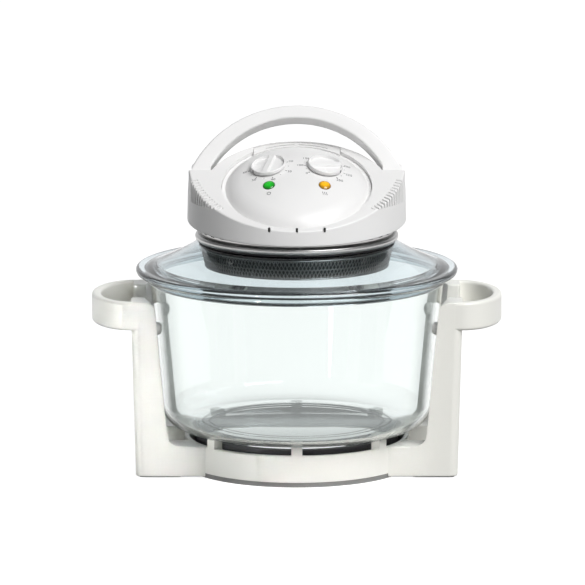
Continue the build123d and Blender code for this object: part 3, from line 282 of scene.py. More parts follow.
def noise(made, where, scale, detail=3.0, roughness=0.5):
    node = made.node_tree.nodes.new("ShaderNodeTexNoise")
    node.inputs["Scale"].default_value = scale
    node.inputs["Detail"].default_value = detail
    node.inputs["Roughness"].default_value = roughness
    link(made, where, node, "Vector")
    return node.outputs["Fac"]


def spread(made, value, low, high, start=0.3, end=0.7):
    """Maps value from start..end to low..high."""
    node = made.node_tree.nodes.new("ShaderNodeMapRange")
    for socket, number in (("From Min", start), ("From Max", end), ("To Min", low), ("To Max", high)):
        node.inputs[socket].default_value = number
    link(made, value, node, "Value")
    return node.outputs["Result"]


def blend_colours(made, value, first, second):
    """first where value is 0 and second where it is 1."""
    node = made.node_tree.nodes.new("ShaderNodeMix")
    node.data_type = "RGBA"
    node.inputs[6].default_value = (*first, 1.0)
    node.inputs[7].default_value = (*second, 1.0)
    made.node_tree.links.new(value, node.inputs[0])
    return node.outputs[2]


def relief(made, height, depth, strength=1.0, under=None):
    """A bump of this depth (mm), over another one if it is given."""
    node = made.node_tree.nodes.new("ShaderNodeBump")
    node.inputs["Distance"].default_value = depth * MM
    node.inputs["Strength"].default_value = strength
    link(made, height, node, "Height")
    if under is not None:
        link(made, under, node, "Normal")
    return node.outputs["Normal"]


def shaded(colour, factor):
    return tuple(channel * factor for channel in colour)


def mottle(made, value, colour, factor):
    """Lets the base colour wander with value between a darker shade and the colour itself."""
    tone = blend_colours(made, spread(made, value, 0.0, 1.0), shaded(colour, factor), colour)
    link(made, tone, shader_of(made), "Base Color")


# ------------------------------------------------------------------ materials
def moulded_plastic(name, colour, gloss, grain_size, grain_depth, coat_weight=0.0):
    """Injection-moulded plastic: slow flow shading, a fine eroded grain and handling marks in the gloss."""
    made = new_material(name, colour, Roughness=gloss, IOR=1.5, Coat_Weight=coat_weight, Coat_Roughness=0.06)
    where = places(made)
    flow = noise(made, where, 14.0, 2.0)
    mottle(made, flow, colour, 0.965)
    handling = noise(made, where, 55.0, 6.0, 0.62)
    link(made, spread(made, handling, gloss - 0.05, gloss + 0.07), shader_of(made), "Roughness")
    grain = relief(made, noise(made, where, 1000.0 / grain_size, 2.0), grain_depth)
    ripple = relief(made, noise(made, where, 130.0, 1.0), 0.02, 0.6, under=grain)
    link(made, ripple, shader_of(made), "Normal")
    return made


def clear_glass(name, colour, waviness):
    """Pressed glass: clear, with the slow waves that the press leaves and faint wiping marks."""
    made = new_material(name, colour, Roughness=0.0, IOR=1.47, Transmission_Weight=1.0)
    where = places(made)
    wave = relief(made, noise(made, where, 16.0, 1.0), waviness, 0.5)
    link(made, wave, shader_of(made), "Normal")
    wiped = spread(made, noise(made, where, 70.0, 5.0, 0.6), 0.0, 0.006)
    link(made, wiped, shader_of(made), "Roughness")
    return made


def turned_metal(name, colour, roughness, line_size, depth, dulled=0.93):
    """Metal polished on a lathe: fine rings round the axis in gloss and surface, and a faint uneven tone."""
    made = new_material(name, colour, Roughness=roughness, Metallic=1.0, Anisotropic=0.45)
    rings = noise(made, turned_places(made), 1000.0 / line_size, 2.0, 0.7)
    tone = noise(made, places(made), 30.0, 3.0)
    mottle(made, tone, colour, dulled)
    link(made, spread(made, rings, roughness - 0.07, roughness + 0.1), shader_of(made), "Roughness")
    link(made, relief(made, rings, depth, 0.6), shader_of(made), "Normal")
    return made


def sheet_metal(name, colour, roughness, grain=(900.0, 60.0, 900.0), metallic=1.0):
    """Rolled sheet or plated wire: grain drawn out along one direction, and small dull patches."""
    made = new_material(name, colour, Roughness=roughness, Metallic=metallic)
    drawn = noise(made, places(made, grain), 1.0, 3.0, 0.6)
    patches = noise(made, places(made), 45.0, 4.0, 0.6)
    mottle(made, patches, colour, 0.82)
    link(made, spread(made, drawn, roughness - 0.06, roughness + 0.12), shader_of(made), "Roughness")
    link(made, relief(made, drawn, 0.01, 0.5), shader_of(made), "Normal")
    return made


def matt_solid(name, colour, roughness, speck_size, speck_depth, variation=0.8):
    """Rubber, ceramic or board: a matt speckled skin with pores."""
    made = new_material(name, colour, Roughness=roughness, IOR=1.45)
    where = places(made)
    pores = noise(made, where, 1000.0 / speck_size, 4.0, 0.65)
    mottle(made, pores, colour, variation)
    link(made, relief(made, pores, speck_depth, 0.8), shader_of(made), "Normal")
    return made


def lit_lens(name, colour, glow, centre, strength):
    """A coloured lens over a lamp: its glow is bright in the middle and deeper towards its edge, with facets
    inside. The body colour is also darkened towards the edge as painted shade, and the facets add painted
    glints.
    """
    made = new_material(name, colour, Roughness=0.12, IOR=1.49, Coat_Weight=0.6, Coat_Roughness=0.04)
    shader_of(made).inputs["Emission Strength"].default_value = strength
    where = places(made, (1.0, 1.0, 1.0), centre)
    tree = made.node_tree
    distance = tree.nodes.new("ShaderNodeVectorMath")
    distance.operation = "LENGTH"
    tree.links.new(where, distance.inputs[0])
    falloff = spread(made, distance.outputs["Value"], 1.0, 0.0, 0.003, 0.0062)
    facets = tree.nodes.new("ShaderNodeTexVoronoi")
    facets.inputs["Scale"].default_value = 620.0
    link(made, where, facets, "Vector")
    # painted glints: spots on the facets brighten both the glow and the body colour
    painted_glint = spread(made, facets.outputs["Distance"], 1.25, 0.5, 0.1, 0.9)
    both = tree.nodes.new("ShaderNodeMath")
    both.operation = "MULTIPLY"
    tree.links.new(falloff, both.inputs[0])
    tree.links.new(painted_glint, both.inputs[1])
    lit = blend_colours(made, both.outputs[0], shaded(colour, 0.12), glow)
    link(made, lit, shader_of(made), "Emission Color")
    # painted shade: the body colour darkens towards the edge, as if less lit by the lamp behind
    body = blend_colours(made, both.outputs[0], shaded(colour, 0.25), colour)
    link(made, body, shader_of(made), "Base Color")
    link(made, relief(made, facets.outputs["Distance"], 0.12, 0.5), shader_of(made), "Normal")
    return made


# ------------------------------------------------------------------ settings
class OvenColours(bpy.types.PropertyGroup):
    """Colours of the oven's main finishes."""

    housing: FloatVectorProperty(
        name="Housing",
        description="Plastic of the head, the panel and the carry handle",
        subtype="COLOR",
        default=(0.82, 0.815, 0.81),
        min=0,
        max=1,
    )
    stand: FloatVectorProperty(
        name="Stand",
        description="Stand plastic, a little warmer than the head",
        subtype="COLOR",
        default=(0.89, 0.885, 0.83),
        min=0,
        max=1,
    )
    lid_tint: FloatVectorProperty(
        name="Lid tint",
        description="Tint of the lid's glass",
        subtype="COLOR",
        default=(0.72, 0.79, 0.82),
        min=0,
        max=1,
    )
    bowl_tint: FloatVectorProperty(
        name="Bowl tint",
        description="Tint of the bowl's glass",
        subtype="COLOR",
        default=(0.93, 0.96, 0.95),
        min=0,
        max=1,
    )
    guard: FloatVectorProperty(
        name="Guard",
        description="Dull plating of the wire guard",
        subtype="COLOR",
        default=(0.34, 0.34, 0.33),
        min=0,
        max=1,
    )
    power_light: FloatVectorProperty(
        name="Power light",
        description="Colour of the left indicator",
        subtype="COLOR",
        default=(0.0, 0.40, 0.005),
        min=0,
        max=1,
    )
    heat_light: FloatVectorProperty(
        name="Heat light",
        description="Colour of the right indicator",
        subtype="COLOR",
        default=(0.85, 0.40, 0.0),
        min=0,
        max=1,
    )
    ink: FloatVectorProperty(
        name="Dial ink",
        description="Ink of the marks round the knobs",
        subtype="COLOR",
        default=(0.035, 0.035, 0.04),
        min=0,
        max=1,
    )


class OvenSizes(bpy.types.PropertyGroup):
    """Sizes of the details that the frame leaves to this file."""

    guard_wire: FloatProperty(
        name="Guard wire",
        description="Radius of the guard's wires",
        unit="LENGTH",
        default=0.5 * MM,
        min=0.1 * MM,
        max=1 * MM,
    )
    guard_count: IntProperty(
        name="Guard wires",
        description="Wires each way round the guard's side",
        default=156,
        min=24,
        max=300,
    )
    guard_pitch: FloatProperty(
        name="Guard pitch",
        description="Spacing of the wires under the lamp",
        unit="LENGTH",
        default=5.6 * MM,
        min=3 * MM,
        max=12 * MM,
    )
    tick: FloatProperty(
        name="Dial tick",
        description="Length of a long mark round a knob",
        unit="LENGTH",
        default=1.9 * MM,
        min=0.5 * MM,
        max=4 * MM,
    )
    numeral: FloatProperty(
        name="Numeral height",
        description="Height of the dial numbers",
        unit="LENGTH",
        default=3.3 * MM,
        min=1 * MM,
        max=5 * MM,
    )


class OvenStage(bpy.types.PropertyGroup):
    """Camera and light."""

    distance: FloatProperty(
        name="Camera distance",
        description="From the oven's middle",
        unit="LENGTH",
        default=6.0,
        min=1,
        max=20,
    )
    elevation: FloatProperty(
        name="Camera elevation",
        description="Above the horizon",
        subtype="ANGLE",
        default=math.radians(10.3),
        min=-1.5,
        max=1.5,
    )
    azimuth: FloatProperty(
        name="Camera azimuth",
        description="To the oven's right",
        subtype="ANGLE",
        default=0.0,
        min=-3.2,
        max=3.2,
    )
    view_width: FloatProperty(
        name="View width",
        description="Width seen at the oven",
        unit="LENGTH",
        default=0.5897,
        min=0.1,
        max=3,
    )
    key_power: FloatProperty(
        name="Key light",
        description="Power of the large front light",
        unit="POWER",
        default=144.0,
        min=0,
        max=900,
    )
    fill_power: FloatProperty(
        name="Fill light",
        description="Power of the left fill light",
        unit="POWER",
        default=2.4,
        min=0,
        max=500,
    )
    stand_power: FloatProperty(
        name="Stand light",
        description="Power of the low beam",
        unit="POWER",
        default=0.13,
        min=0,
        max=9,
    )
    sky: FloatProperty(
        name="Sky",
        description="Brightness of the surroundings",
        default=0.10,
        min=0,
        max=2,
    )


# ------------------------------------------------------------------ pieces
class OVEN_OT_bowl(bpy.types.Operator):
    """Build the glass bowl"""

    bl_idname = "oven.bowl"
    bl_label = "Glass bowl"

    def execute(self, context):
        colours = context.scene.oven_colours
        flare, wall = 0.082, 4.5
        foot_z, top_z, rim_top = 40.3, 190.0, 197.5

        def outer(z):
            return 148.0 - flare * (190.0 - z)

        outline = rounded(
            [
                (0.0, foot_z + 0.9, 0),
                (88.0, foot_z + 0.9, 0.6),
                (89.5, foot_z, 0.8),
                (95.0, foot_z, 0.8),
                (97.0, foot_z + 0.5, 0.8),
                (outer(foot_z) + 0.15, foot_z + 0.5, 27.0),
                (148.0, top_z, 1.4),
                (152.0, top_z, 3.6),
                (152.0, rim_top, 3.6),
                (outer(rim_top) - wall, rim_top, 1.5),
                (outer(foot_z + 5) - wall, foot_z + 5.2, 23.0),
                (0.0, foot_z + 5.2, 0),
            ],
            11,
        )
        bowl = turned("bowl_glass", outline, 288, closed=False, crease=60)
        coat(bowl, clear_glass("bowl glass", tuple(colours.bowl_tint), 0.10))
        place(bowl, "bowl", "bowl_glass", "glass_bowl")
        return {"FINISHED"}


class OVEN_OT_lid(bpy.types.Operator):
    """Build the glass lid"""

    bl_idname = "oven.lid"
    bl_label = "Glass lid"

    def execute(self, context):
        rest, bead = 197.8, 3.5
        bead_r, bead_top = 162.2 - bead, rest + 2 * bead
        outline = np.concatenate(
            [
                [(97.0, 226.5), (93.4, 226.5), (93.0, 226.9), (93.0, 230.1), (93.4, 230.5)],
                arc((99.0, 230.5), (126.0, 215.0), (153.0, bead_top - 0.6), 40),
                [(154.6, bead_top - 0.35)],
                arc((bead_r, bead_top), (162.2, rest + bead), (bead_r, rest), 14),
                [(143.4, rest), (142.9, rest - 0.15), (142.5, rest - 0.8)],
                [(142.5, 191.9), (142.1, 191.2), (141.4, 191.0)],
                [(139.8, 191.0), (139.0, 191.3), (138.7, 192.0), (138.7, 203.2)],
                arc((138.4, 204.3), (120.0, 212.9), (97.0, 226.5), 40)[:-1],
            ]
        )
        lid = turned("lid_glass", outline, 288, crease=50)
        coat(lid, clear_glass("lid glass", tuple(context.scene.oven_colours.lid_tint), 0.08))
        place(lid, "lid", "lid_glass", "glass_lid")
        return {"FINISHED"}


class OVEN_OT_guard(bpy.types.Operator):
    """Weave the wire guard under the lamp"""

    bl_idname = "oven.guard"
    bl_label = "Wire guard"

    def execute(self, context):
        sizes = context.scene.oven_sizes
        wire, pitch = sizes.guard_wire / MM, sizes.guard_pitch / MM
        count = sizes.guard_count
        low, high = np.array([91.9, 203.1]), np.array([95.9, 224.2])
        side_wave, under_wave, under_r, under_z = 0.3, 0.42, 92.2, 203.3
        parts = []
        t = np.linspace(0, 1, 15)[None]
        start = (np.arange(count) * 2 * math.pi / count)[:, None]
        for hand in (-1, 1):
            # side: each wire leans by five half pitches on its way up and waves over its neighbours
            a = start + hand * t * 5 * math.pi / count
            wave = side_wave * hand * np.cos(t * 10 * math.pi)
            r = low[0] + (high[0] - low[0]) * t + wave
            z = np.broadcast_to(low[1] + (high[1] - low[1]) * t, a.shape)
            path = np.stack([r * np.cos(a), r * np.sin(a), z], -1)
            normal = np.stack([np.cos(a), np.sin(a), np.zeros_like(a)], -1)
            parts.append(wires(path, normal, wire))
        # underneath: straight wires both ways, each waving over and under the ones that cross it
        order = np.arange(-16, 17)[:, None]
        lane = order * pitch
        half = np.sqrt(under_r**2 - lane**2)
        t = np.linspace(-1, 1, 81)[None]
        run = half * t
        side = np.broadcast_to(lane, run.shape)
        lift = under_wave * np.cos(math.pi * (run / pitch + order))
        for hand in (-1, 1):
            z = under_z + hand * lift
            across, along = (side - hand * run) / math.sqrt(2), (run + hand * side) / math.sqrt(2)
            path = np.stack([across, along, z], -1)
            normal = np.broadcast_to([0.0, 0.0, 1.0], path.shape)
            parts.append(wires(path, normal, wire))
        parts += [hoop(92.0, 203.4, 0.9), hoop(93.9, 213.6, 0.45), hoop(95.5, 223.7, 0.9)]
        guard = gather("guard_mesh", parts)
        rim = rounded([(84.0, 223.75, 0.2), (96.2, 223.75, 0.3), (96.2, 224.7, 0.3), (84.0, 224.7, 0.2)], 4)
        flange = turned("guard_flange", rim, 180)
        even = (300.0, 300.0, 300.0)
        plated = sheet_metal("plated wire", tuple(context.scene.oven_colours.guard), 0.34, even)
        dark = sheet_metal("blackened steel and shade liner", (0.012, 0.012, 0.012), 0.6, even, metallic=0.0)
        # painted shade: a near-black sheet just inside the wires stands in for the dim inside of the guard;
        # the flange itself is blackened steel
        shade_outline = [(90.2, 204.6, 0.1), (90.6, 204.6, 0.1), (94.3, 223.6, 0.1), (93.9, 223.6, 0.1)]
        shade_liner = turned("guard_shade_liner", rounded(shade_outline, 3), 180)
        for piece, metal in ((guard, plated), (flange, dark), (shade_liner, dark)):
            coat(piece, metal)
            place(piece, "lid", "guard_mesh", "lamp_guard")
        return {"FINISHED"}


class OVEN_OT_head(bpy.types.Operator):
    """Finish the head housing, its rear cover, the panel and the carry handle"""

    bl_idname = "oven.head"
    bl_label = "Head and handle"

    def execute(self, context):
        housing = tuple(context.scene.oven_colours.housing)
        white = moulded_plastic("head plastic", housing, 0.36, 0.7, 0.003, 0.06)
        for node in ("head_housing", "rear_vent_cover", "control_panel", "carry_handle"):
            coat(NODES[node], white)
        # painted shade: dark boxes at the back of the three small slots in the front, standing in for the
        # shadow inside them
        faces = [[0, 1, 3, 2], [4, 6, 7, 5], [0, 4, 5, 1], [2, 3, 7, 6], [0, 2, 6, 4], [1, 5, 7, 3]]
        spacing, half_width, depth, height = 28.0, 1.1, (-104.6, -103.8), (255.4, 260.4)
        shade_boxes = []
        for x in (-spacing, 0.0, spacing):
            box = np.meshgrid([x - half_width, x + half_width], depth, height, indexing="ij")
            shade_boxes.append((np.stack(box, -1).reshape(-1, 3), faces))
        slot_shade = clean(gather("slot_shade_boxes", shade_boxes))
        # painted shade: a near-black matt finish for the slot backs
        coat(slot_shade, matt_solid("painted slot shade", (0.012, 0.012, 0.012), 0.9, 0.4, 0.02))
        place(slot_shade, "lid", "black_plastic")
        return {"FINISHED"}


def smooth(value):
    """0 below 0, 1 above 1 and a smooth step between."""
    value = np.clip(value, 0, 1)
    return value * value * (3 - 2 * value)


def knob_cap(name, side, bar_angle):
    """A low round knob with a finger bar between two pockets.

    On a grid of radius u and angle a the height is the knob's height less the pockets. A pocket lies
    inside the rim and beside the bar: its walls are smooth steps of the distances to the rim and to the
    bar, and its floor sinks a little.
    """
    radius, height, floor, rim, half_bar = 17.6, 3.9, 1.0, 1.1, 2.7
    bar_wall, rim_wall, edge_round, gap_under = 1.1, 0.9, 0.85, 0.6
    edge = 0.95
    u = np.concatenate([np.linspace(0, edge, 62), edge + 0.05 * np.sin(np.linspace(0, math.pi / 2, 8)[1:])])
    a = np.linspace(0, 2 * math.pi, 180, endpoint=False)
    uu, aa = np.meshgrid(u, a, indexing="ij")
    x, y = radius * uu * np.cos(aa), radius * uu * np.sin(aa)
    turn = math.radians(bar_angle)
    across = np.abs(x * math.cos(turn) + y * math.sin(turn))
    to_rim = radius - rim - np.hypot(x, y)
    inside = np.minimum(smooth((across - half_bar) / bar_wall), smooth(to_rim / rim_wall))
    z = height - (height - floor) * inside * (0.88 + 0.12 * np.clip((across - half_bar) / 8, 0, 1))
    shoulder = np.clip((uu - edge) / 0.05, 0, 1)
    z -= edge_round * (1 - np.sqrt(np.clip(1 - shoulder**2, 0, 1)))
    low_r = radius + 0.15
    skirt = np.array([(low_r, 1.2), (low_r, 0.4), (low_r - 0.4, 0.05)])
    sx, sy = np.outer(skirt[:, 0], np.cos(a)), np.outer(skirt[:, 0], np.sin(a))
    sz = np.broadcast_to(skirt[:, 1][:, None], sx.shape)
    under_r = np.array([low_r - 2.5, low_r - 2.6, 4.0, 0.0])
    ux, uy = np.outer(under_r, np.cos(a)), np.outer(under_r, np.sin(a))
    uz = np.broadcast_to(np.array([0.05, 0.7, 0.7, 0.7])[:, None], ux.shape)
    local = np.stack([np.concatenate(rows) for rows in ((x, sx, ux), (y, sy, uy), (z, sz, uz))], -1)
    origin, axes = dome_axes(side * KNOB_X, KNOB_S)
    points = origin + (local + [0, 0, gap_under]) @ axes
    faces = quads(local.shape[0], len(a), wrap_columns=True)
    return clean(put_mesh(name, points.reshape(-1, 3), faces.tolist(), 55))


class OVEN_OT_knobs(bpy.types.Operator):
    """Build the two knobs"""

    bl_idname = "oven.knobs"
    bl_label = "Knobs"

    def execute(self, context):
        colour = shaded(tuple(context.scene.oven_colours.housing), 1.02)
        white = moulded_plastic("knob plastic", colour, 0.24, 0.5, 0.004, 0.25)
        for name, side, angle, body, node in (
            ("timer_cap", -1, -14.0, "timer_dial", "timer_knob"),
            ("thermostat_cap", 1, -72.0, "thermostat_dial", "thermostat_knob"),
        ):
            cap = knob_cap(name, side, angle)
            coat(cap, white)
            place(cap, body, "panel_plastic", node)
            # a dark line let into each knob's side at its outer lower edge: a pointer mark, and also painted
            # shade for the dark gap under the knob there
            origin, axes = dome_axes(side * KNOB_X, KNOB_S)
            turn = math.radians(-90 + side * 60)
            fan = turn + np.linspace(-0.055, 0.055, 7)
            a, r, z = np.meshgrid(fan, (17.2, 17.85), (1.2, 4.1), indexing="ij")
            local = np.stack([r * np.cos(a), r * np.sin(a), z], -1).reshape(-1, 3)
            faces = [[0, 2, 3, 1], [24, 25, 27, 26]]
            for k in range(0, 24, 4):
                for p, q in ((0, 1), (1, 3), (3, 2), (2, 0)):
                    faces.append([k + p, k + q, k + 4 + q, k + 4 + p])
            shade_pointer = clean(put_mesh(name.replace("cap", "shade_pointer"), origin + local @ axes, faces, 30))
            coat(shade_pointer, moulded_plastic("shade_pointer ink", (0.03, 0.03, 0.032), 0.4, 0.5, 0.004))
            place(shade_pointer, body, "black_plastic")
        return {"FINISHED"}


def ink_patch(shapes):
    """Printed marks from flat (points, faces) shapes: each lies on the dome, 0.05 mm proud of it."""
    parts = []
    for flat, faces in shapes:
        flat = np.asarray(flat, float)
        parts.append((on_dome(flat[:, 0], flat[:, 1], 0.05), faces))
    return parts


def strip(inner, outer, width, angle, centre):
    """A straight mark that runs outwards from inner to outer radius at this angle about a centre."""
    out = np.array([math.cos(angle), math.sin(angle)])
    side = np.array([-out[1], out[0]]) * width / 2
    corners = [out * inner - side, out * outer - side, out * outer + side, out * inner + side]
    return np.array(corners) + centre, [[0, 1, 2, 3]]


def wedge(radius, start, end, first, last, centre, steps=40):
    """A curved band about a centre that widens from first to last between two angles."""
    a = np.radians(np.linspace(start, end, steps))
    half = np.linspace(first, last, steps) / 2
    ring = np.stack([np.cos(a), np.sin(a)], -1)
    points = np.concatenate([ring * (radius - half)[:, None], ring * (radius + half)[:, None]]) + centre
    faces = quads(2, steps)
    return points, (faces[:, ::-1] if end < start else faces).tolist()


def numeral(text, height, centre, angle=0.0):
    """A plain number as flat faces, centred at a point."""
    curve = bpy.data.curves.new("numeral", "FONT")
    curve.body = text
    curve.size = height * 1.38
    curve.align_x = "CENTER"
    curve.align_y = "CENTER"
    curve.resolution_u = 3
    writer = bpy.data.objects.new("numeral", curve)
    bpy.context.scene.collection.objects.link(writer)
    bpy.context.view_layer.update()
    mesh = bpy.data.meshes.new_from_object(writer.evaluated_get(bpy.context.evaluated_depsgraph_get()))
    flat = np.zeros(len(mesh.vertices) * 3)
    mesh.vertices.foreach_get("co", flat)
    flat = flat.reshape(-1, 3)[:, :2]
    faces = [list(face.vertices) for face in mesh.polygons]
    bpy.data.objects.remove(writer)
    bpy.data.curves.remove(curve)
    bpy.data.meshes.remove(mesh)
    turn = np.array([[math.cos(angle), math.sin(angle)], [-math.sin(angle), math.cos(angle)]])
    return flat @ turn + centre, faces


class OVEN_OT_dials(bpy.types.Operator):
    """Print the scales round the knobs and the two plain signs under the lamps"""

    bl_idname = "oven.dials"
    bl_label = "Dial marks"

    def execute(self, context):
        sizes = context.scene.oven_sizes
        tick, tall = sizes.tick / MM, sizes.numeral / MM
        tick_r, label_r, short = 19.0, 22.9, 0.55
        shapes = []
        scales = (
            (-1, 121.0, -300.0, [str(n) for n in range(0, 70, 10)], 2),
            (1, 218.0, -270.0, ["0", "100", "125", "150", "175", "200", "225", "250"], 2),
        )
        for side, start, sweep, labels, between in scales:
            centre = np.array([side * KNOB_X, KNOB_S])
            steps = (len(labels) - 1) * between
            for k in range(steps + 1):
                angle = math.radians(start + sweep * k / steps)
                long = k % between == 0
                length, width = (tick, 0.75) if long else (tick * short, 0.55)
                shapes.append(strip(tick_r, tick_r + length, width, angle, centre))
                if long:
                    label = labels[k // between]
                    reach = label_r + 0.55 * (len(label) - 1) * abs(math.cos(angle)) * tall * 0.5
                    spot = centre + reach * np.array([math.cos(angle), math.sin(angle)])
                    shapes.append(numeral(label, tall, spot))
        # a plain power sign under the green lamp: an open ring and a bar
        sign = np.array([-LENS_X, LENS_S - 11.6])
        shapes.append(wedge(1.75, 60.0, -240.0, 0.5, 0.5, sign))
        shapes.append(strip(0.35, 2.3, 0.5, math.pi / 2, sign))
        # a plain heat sign under the amber lamp: three rising waves
        t = np.linspace(0, 1, 24)
        for shift in (-1.9, 0.0, 1.9):
            x = LENS_X + shift + 0.42 * np.sin(t * 2 * math.pi)
            s = LENS_S - 13.6 + 4.0 * t
            points = np.concatenate([np.stack([x - 0.24, s], -1), np.stack([x + 0.24, s], -1)])
            shapes.append((points, quads(2, 24)[:, ::-1].tolist()))
        marks = gather("dial_marks", ink_patch(shapes))
        thin = marks.modifiers.new("ink", "SOLIDIFY")
        thin.thickness = 0.1 * MM
        thin.offset = -1
        ink = new_material("dial ink", tuple(context.scene.oven_colours.ink), Roughness=0.45)
        where = places(ink)
        colour = tuple(context.scene.oven_colours.ink)
        worn = spread(ink, noise(ink, where, 900.0, 3.0), 0.0, 1.0)
        link(ink, blend_colours(ink, worn, colour, shaded(colour, 1.7)), shader_of(ink), "Base Color")
        coat(marks, ink)
        place(marks, "lid", "black_plastic")
        return {"FINISHED"}


class OVEN_OT_lamps(bpy.types.Operator):
    """Build the two indicator lenses"""

    bl_idname = "oven.lamps"
    bl_label = "Indicator lenses"

    def execute(self, context):
        colours = context.scene.oven_colours
        green, amber = tuple(colours.power_light), tuple(colours.heat_light)
        crown_r, crown, facet = 6.15, 2.2, 0.22
        for name, side, node, slot, colour, glow, strength in (
            ("power_light", -1, "power_lens", "green_lens", green, (0.01, 0.75, 0.04), 0.30),
            ("heat_light", 1, "heat_lens", "amber_lens", amber, (1.0, 0.58, 0.0), 0.34),
        ):
            origin, axes = dome_axes(side * LENS_X, LENS_S)
            u = np.linspace(0, 1, 26)
            a = np.linspace(0, 2 * math.pi, 72, endpoint=False)
            uu, aa = np.meshgrid(u, a, indexing="ij")
            # the crown is a dome with shallow pyramids inside its edge
            r = crown_r * np.sin(uu * math.pi / 2)
            z = crown * np.cos(uu * math.pi / 2) ** 0.9
            x, y = r * np.cos(aa), r * np.sin(aa)
            pattern = np.abs(np.sin(x * 2.1)) * np.abs(np.sin(y * 2.1)) * np.clip(1.3 - r / 4.4, 0, 1)
            z = z + facet * pattern - 0.1
            rim = np.array([(6.2, -0.6), (6.2, -3.0), (7.4, -3.1), (7.4, -4.5), (0.0, -4.5)])
            rx, ry = np.outer(rim[:, 0], np.cos(a)), np.outer(rim[:, 0], np.sin(a))
            rz = np.broadcast_to(rim[:, 1][:, None], rx.shape)
            local = np.stack([np.concatenate(rows) for rows in ((x, rx), (y, ry), (z, rz))], -1)
            faces = quads(local.shape[0], len(a), wrap_columns=True)
            lens = clean(put_mesh(name, (origin + local @ axes).reshape(-1, 3), faces.tolist(), 45))
            middle = tuple((origin + axes[2]) * MM)
            coat(lens, lit_lens(name.replace("_", " "), colour, glow, middle, strength))
            place(lens, "lid", slot, node)
        return {"FINISHED"}


class OVEN_OT_stand(bpy.types.Operator):
    """Finish the stand"""

    bl_idname = "oven.stand"
    bl_label = "Stand"

    def execute(self, context):
        colour = tuple(context.scene.oven_colours.stand)
        ivory = moulded_plastic("stand plastic", colour, 0.33, 0.9, 0.008, 0.1)
        for node in ("right_frame", "left_frame", "base_ring"):
            coat(NODES[node], ivory)
        # the foot ring's grey is partly its own colour and partly painted shade: it is set darker for the
        # shadow under the base ring
        coat(NODES["foot_ring"], moulded_plastic("foot plastic and painted shade", (0.26, 0.26, 0.25), 0.45, 0.9, 0.01))
        return {"FINISHED"}


class OVEN_OT_finish(bpy.types.Operator):
    """Give every other part its finish"""

    bl_idname = "oven.finish"
    bl_label = "Metals, rubber and inner parts"

    def execute(self, context):
        steel = turned_metal("satin steel", (0.60, 0.595, 0.59), 0.30, 0.25, 0.004)
        bright = sheet_metal("bright steel", (0.66, 0.66, 0.65), 0.25)
        mirror = turned_metal("polished aluminium", (0.86, 0.86, 0.87), 0.12, 0.8, 0.003, 0.97)
        black = matt_solid("black rubber", (0.025, 0.025, 0.027), 0.62, 0.5, 0.01)
        dark = moulded_plastic("black plastic and slot shade", (0.035, 0.035, 0.037), 0.4, 0.5, 0.006)
        finishes = {
            steel: ("clamp_ring", "vent_collar"),
            sheet_metal("dark enamel", (0.035, 0.035, 0.038), 0.5, metallic=0.0): ("heat_shield_ring",),
            bright: ("frame_screws", "guard_screws", "housing_screws", "fan_nut", "motor_shaft",
                     "pivot_pins", "lamp_clips", "switch_bracket", "timer_shaft", "thermostat_shaft",
                     "base_plate"),
            mirror: ("reflector", "hot_air_fan", "cooling_fan"),
            black: ("lid_seal",),
            # the motor bracket is dark partly as painted shade, so that it reads as the shadow seen through
            # the front slots
            dark: ("motor_bracket", "microswitch", "switch_cam", "switch_plunger", "timer_body",
                   "thermostat_body", "cord_gland"),
            matt_solid("grey rubber", (0.30, 0.305, 0.30), 0.7, 0.6, 0.012): ("rubber_pads",),
            matt_solid("white silicone", (0.86, 0.86, 0.83), 0.3, 0.8, 0.005, 0.95): ("bumper_pegs",),
            matt_solid("heat board", (0.62, 0.58, 0.50), 0.85, 0.4, 0.03): ("insulation_board",),
            matt_solid("ceramic", (0.80, 0.79, 0.75), 0.5, 0.3, 0.008, 0.93): (
                "lamp_caps", "terminal_block"),
            matt_solid("board green", (0.03, 0.16, 0.06), 0.35, 0.7, 0.01): ("indicator_board",),
            sheet_metal("tungsten", (0.28, 0.27, 0.26), 0.45): ("filament",),
            sheet_metal("motor steel", (0.30, 0.31, 0.33), 0.42): ("fan_motor", "motor_rotor"),
            sheet_metal("brass", (0.70, 0.52, 0.22), 0.3): ("thermostat_bulb",),
            clear_glass("quartz tube", (0.97, 0.97, 0.95), 0.03): ("halogen_tube",),
        }
        for material, names in finishes.items():
            for node in names:
                coat(NODES[node], material)
        return {"FINISHED"}


